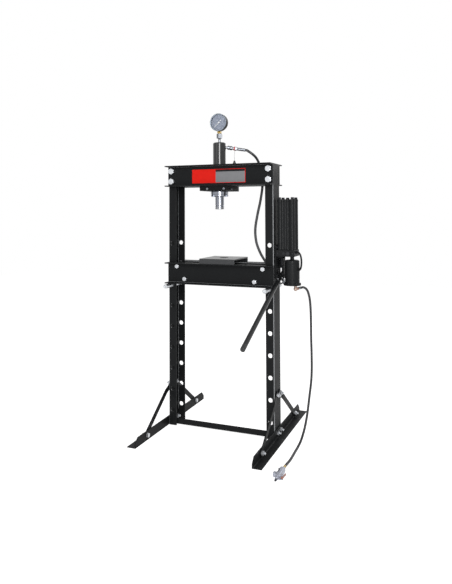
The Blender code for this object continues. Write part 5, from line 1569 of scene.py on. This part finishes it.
# ---------------------------------------------------------------- air line
@dataclass
class AirLine:
    """The brass elbow, the air hose and the hand valve that lies on the floor."""

    diameter: float = 0.0125
    rise: float = 16.0  # degrees above level, where the hose leaves the elbow
    spout: float = 0.032
    ferrule: tuple[float, float] = (0.016, 0.035)
    side: float = 0.026
    body: float = 0.093
    boss_at: float = 0.102  # from the hose's end
    splay: float = 5.0  # degrees between the lever and the body
    valve_end: tuple[float, float] = (0.469, -0.385)  # where the hose meets the valve
    # The hose's way from the elbow down to the floor, from the frame's middle.
    route: tuple[Point, ...] = (
        (0.47, 0.001, 0.8205),
        (0.482, 0.003, 0.814),
        (0.491, 0.005, 0.8),
        (0.497, 0.0065, 0.78),
        (0.5015, 0.008, 0.755),
        (0.5045, 0.009, 0.72),
        (0.506, 0.01, 0.674),
        (0.5065, 0.01, 0.605),
        (0.507, 0.01, 0.536),
        (0.5085, 0.01, 0.468),
        (0.5085, 0.01, 0.379),
        (0.505, 0.008, 0.312),
        (0.4965, 0.001, 0.234),
        (0.488, -0.016, 0.145),
        (0.4805, -0.042, 0.082),
        (0.472, -0.083, 0.033),
        (0.467, -0.125, 0.014),
        (0.4655, -0.177, 0.0075),
        (0.4675, -0.235, 0.007),
        (0.4695, -0.29, 0.0075),
        (0.4695, -0.345, 0.011),
    )

    def build(self) -> None:
        """Builds the air line from the motor down to the floor."""
        start, way = self.elbow()
        origin = frame_middle()
        end = origin + Vector((*self.valve_end, middle("air_valve").z))
        valve, lever = self.valve(end)
        route = [origin + Vector(point) for point in self.route]
        path = hose_path(start, way, route, end, (0, 1, 0), self.diameter)
        hose = Form().tube(path, self.diameter / 2, 20)
        hose = hose.piece("air_line_hose", RUBBER, "frame", ["air_hose"])

    def elbow(self) -> tuple[Vector, Vector]:
        """The brass elbow under the air motor.

        Returns:
            The face that the hose leaves, and the way in which it leaves.
        """
        low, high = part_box("air_elbow")
        ball = 0.011
        centre = Vector((low.x + ball, (low.y + high.y) / 2, low.z + ball))
        rise = math.radians(self.rise)
        way = Vector((math.cos(rise), 0, math.sin(rise)))
        collar = Matrix.Translation((centre.x, centre.y, high.z - 0.008))
        form = Form().hexagon(0.0155, 0.008, collar, both=True)
        tall = high.z - centre.z
        dome = [(0, -ball), *arc((0, 0), ball, -75, 45, 8), (0.007, 0.012), (0.007, tall), (0, tall)]
        form.lathe(dome, Matrix.Translation(centre), 40)
        nut = aimed(centre + way * 0.008, way)
        form.rod(0.0075, 0, 0.006, nut).piece("air_elbow_casting", PALE_BRASS, "frame", ["air_elbow"])
        spigot = Form().hexagon(0.0125, 0.009, nut @ Matrix.Translation((0, 0, 0.003)), both=True)
        spigot.piece("air_elbow_nut", RED_BRASS, "frame")
        reach = self.spout - 0.008
        crimp = [(0, 0.012), (0.0062, 0.012), (0.0070, 0.0128), (0.0070, reach - 0.005)]
        crimp += [(0.0073, reach - 0.0045), (0.0073, reach), (0, reach)]
        Form().lathe(crimp, nut, 36).piece("air_hose_ferrule", TURNED_ZINC, "frame")
        return centre + way * (self.spout + SEAT), way

    def valve(self, end: Vector) -> tuple[list[Piece], Piece]:
        """The hand valve: ferrule, die-cast body, boss, nozzle and lever.

        Args:
            end: where the hose ends in the ferrule.

        Returns:
            The valve's pieces, and its lever.
        """
        at, axis = Axis.Y.frame(end, back=True), self.side / 2
        wide, start = self.ferrule[0] / 2, self.ferrule[1]
        sleeve = [
            (0, SEAT), (wide - 0.002, SEAT), (wide - 0.001, 0.003), (wide - 0.001, start - 0.012),
            (wide, start - 0.011), (wide, start), (0, start),
        ]  # fmt: skip
        ferrule = Form().lathe(sleeve, at, 40).eased(0.0004, 2, 30)
        ferrule.hexagon(0.017, 0.009, at @ Matrix.Translation((0, 0, start - 0.010)), both=True)
        pieces = [ferrule.piece("air_valve_ferrule", BRASS, "frame")]
        tip = start + self.body
        corner = (end.x + axis, end.y - start, end.z + axis)
        body = Form().box((end.x - axis, end.y - tip, end.z - axis), corner).eased(0.005, 4)
        boss_y = end.y - self.boss_at
        boss = [(0, 0), (axis - 0.0005, 0), (axis - 0.0005, 0.012), (axis - 0.002, 0.014), (0, 0.014)]
        body.lathe(boss, Axis.X.frame((end.x - axis, boss_y, end.z), back=True), 48)
        pivot = pivot_of("valve_lever")
        for low, high in ((-axis, -0.0048), (0.0048, axis)):
            lug = [(end.x, pivot.y - 0.005), (pivot.x, pivot.y - 0.005), *arc(pivot, 0.005, -90, 90, 8)]
            lug.append((end.x, pivot.y + 0.005))
            body.prism(lug, high - low - 0.004, Matrix.Translation((0, 0, end.z + low + 0.002)))
        pieces.append(body.piece("air_valve_casting", DIE_CAST, "frame", ["air_valve"]))
        nozzle = [(0, tip - 0.002), (0.0105, tip - 0.002), (0.009, tip + 0.006), (0.007, tip + 0.008)]
        snout = Form().lathe([*nozzle, (0.007, tip + 0.024), (0, tip + 0.024)], at, 40)
        snout.eased(0.0004, 2, 30).piece("air_valve_nozzle", DIE_CAST, "frame")
        face = [(0, SEAT), (axis - 0.003, SEAT), (axis - 0.004, 0.0012), (0, 0.0012)]
        bush = Form().lathe(face, Axis.X.frame((end.x - axis - 0.0138, boss_y, end.z), back=True), 40)
        pieces.append(bush.piece("air_valve_bush", BUSH, "frame"))
        plug = [(0, tip + 0.024), (0.0045, tip + 0.024), (0.0045, tip + 0.037)]
        stop = Form().lathe([*plug, (0.0035, tip + 0.038), (0, tip + 0.038)], at, 32)
        pin = [(0, 0), (0.003, 0), (0.003, 0.008), (0.0022, 0.009), (0, 0.009)]
        spot = (end.x - axis + 0.006, boss_y + 0.022, end.z + axis - 0.0005)
        stop.lathe(pin, Matrix.Translation(spot), 24)
        stop.piece("air_valve_tip", BLACK_STEEL, "frame")
        return pieces, self.trigger(pivot)

    def trigger(self, pivot: Vector) -> Piece:
        """The curved lever on the valve's side."""
        at = Matrix.Translation(pivot) @ Matrix.Rotation(math.radians(-self.splay), 4, "Z")
        half, long = 0.0045, 0.040
        outer = [(0.005, 0.0), (0.0055, 0.012), (0.0048, 0.024), (0.0058, 0.035), (0.0052, long)]
        inner = [(0.0016, long - 0.0005), (0.0018, 0.035), (0.0010, 0.024), (0.0012, 0.012)]
        outline = [*outer, *inner, (-0.002, 0.004), *arc((0, 0), 0.005, 120, 350, 12)]
        form = Form().prism(outline, 2 * half, at @ Matrix.Translation((0, 0, -half)))
        form.eased(0.0006, 2, 50)
        form.rod(0.002, -0.0125, 0.0125, Matrix.Translation(pivot), 24)
        return form.piece("air_valve_trigger", LEVER_LACQUER, "valve_lever", ["air_valve_lever"])


# ---------------------------------------------------------------- stage
@dataclass
class Stage:
    """The floor, the surroundings, the lamps and the camera."""

    floor: float = 14.0
    floor_glow: float = 0.72
    world_light: float = 0.4
    lens: float = 36.53
    shift: tuple[float, float] = (0.0148, -0.1705)
    eye: tuple[float, float, float] = (1.2692, -3.1735, 1.238)  # from the frame's middle
    heading: float = 22.35  # degrees left of straight ahead
    pitch: float = 1.79  # degrees up
    roll: float = -0.21

    def build(self) -> None:
        """Builds the stage and sets the colour management."""
        bpy.context.scene.view_settings.view_transform = "Standard"
        self.camera()
        self.ground()
        self.surroundings()
        self.lamp("strip", (1.7, -4.1, 1.9), (1.2, 2.6), 180)
        self.lamp("key", (-1.8, -3.4, 2.6), (1.8, 1.8), 12)
        self.lamp("rear", (0.6, 3.4, 2.8), (2.4, 2.4), 40)

    def camera(self) -> None:
        """The camera, level and a little above the bed."""
        data = bpy.data.cameras.new("eye")
        data.lens, data.clip_end = self.lens, 60.0
        data.shift_x, data.shift_y = self.shift
        obj = bpy.data.objects.new("eye", data)
        turned = Matrix.Translation(frame_middle() + Vector(self.eye))
        for angle, axis in ((self.heading, "Z"), (90 + self.pitch, "X"), (self.roll, "Z")):
            turned = turned @ Matrix.Rotation(math.radians(angle), 4, axis)
        obj.matrix_world = turned
        bpy.context.scene.collection.objects.link(obj)
        bpy.context.scene.camera = obj

    def looked_at(self, tree: Tree) -> Socket:
        """Whether a ray comes from the eye, a mirror or a window: 1 if so, otherwise 0."""
        rays = add_node(tree, "ShaderNodeLightPath").outputs
        seen = maths(tree, "MAXIMUM", rays["Is Camera Ray"], rays["Is Glossy Ray"])
        return maths(tree, "MAXIMUM", seen, rays["Is Transmission Ray"])

    def ground(self) -> None:
        """A white floor that keeps the press's soft shadow."""
        form, half = Form(), self.floor / 2
        corners = ((-half, -half), (half, -half), (half, half), (-half, half))
        form.mesh.faces.new([form.mesh.verts.new((x, y, 0)) for x, y in corners])
        floor = form.loose("floor")
        made = bpy.data.materials.new("white_floor")
        tree = cleared(made)
        matt = add_node(tree, "ShaderNodeBsdfDiffuse", {"Color": (0.8, 0.8, 0.8, 1.0)})
        strength = maths(tree, "MULTIPLY", self.looked_at(tree), self.floor_glow)
        glow = add_node(tree, "ShaderNodeEmission", {"Color": (1, 1, 1, 1), "Strength": strength})
        both = add_node(tree, "ShaderNodeAddShader", {0: matt.outputs[0], 1: glow.outputs[0]})
        add_node(tree, "ShaderNodeOutputMaterial", {"Surface": both.outputs[0]})
        floor.data.materials.append(made)

    def surroundings(self) -> None:
        """A white world as the eye and the metal see it, and a softer one as a light."""
        world = bpy.data.worlds.new("studio")
        tree = cleared(world)
        level = {"Value": self.looked_at(tree), "To Min": self.world_light, "To Max": 1.0}
        strength = add_node(tree, "ShaderNodeMapRange", level).outputs["Result"]
        light = add_node(tree, "ShaderNodeBackground", {"Color": (1, 1, 1, 1), "Strength": strength})
        add_node(tree, "ShaderNodeOutputWorld", {"Surface": light.outputs[0]})
        bpy.context.scene.world = world

    def lamp(self, name: str, at: Point, size: tuple[float, float], power: float) -> None:
        """A soft box that points at the middle of the press.

        Args:
            name: the lamp's name.
            at: its place, from the frame's middle.
            size: its width and height.
            power: its power in watts.
        """
        data = bpy.data.lights.new(name, "AREA")
        data.shape, data.energy = "RECTANGLE", power
        data.size, data.size_y = size
        obj = bpy.data.objects.new(name, data)
        spot = frame_middle() + Vector(at)
        aim = frame_middle() + Vector((0, 0, 0.9)) - spot
        obj.location = spot
        obj.rotation_euler = aim.to_track_quat("-Z", "Y").to_euler()
        bpy.context.scene.collection.objects.link(obj)


def main() -> None:
    """Builds the stage and the sub-assemblies, and gives the return spring the turned steel finish."""
    logging.basicConfig(level=logging.INFO, format="%(message)s")
    fluids = (AirLine(), RamHose())
    parts = (Stage(), *fluids, Frame(), Label(), RamUnit(), Gauge(), Bed(), Pump(), HandPump())
    for part in parts:
        part.build()
        LOG.info("%s is built", type(part).__name__)
    spring = frame["nodes"]["return_spring"]
    spring.data.materials.clear()
    spring.data.materials.append(SADDLE.material())


if __name__ == "__main__":
    main()
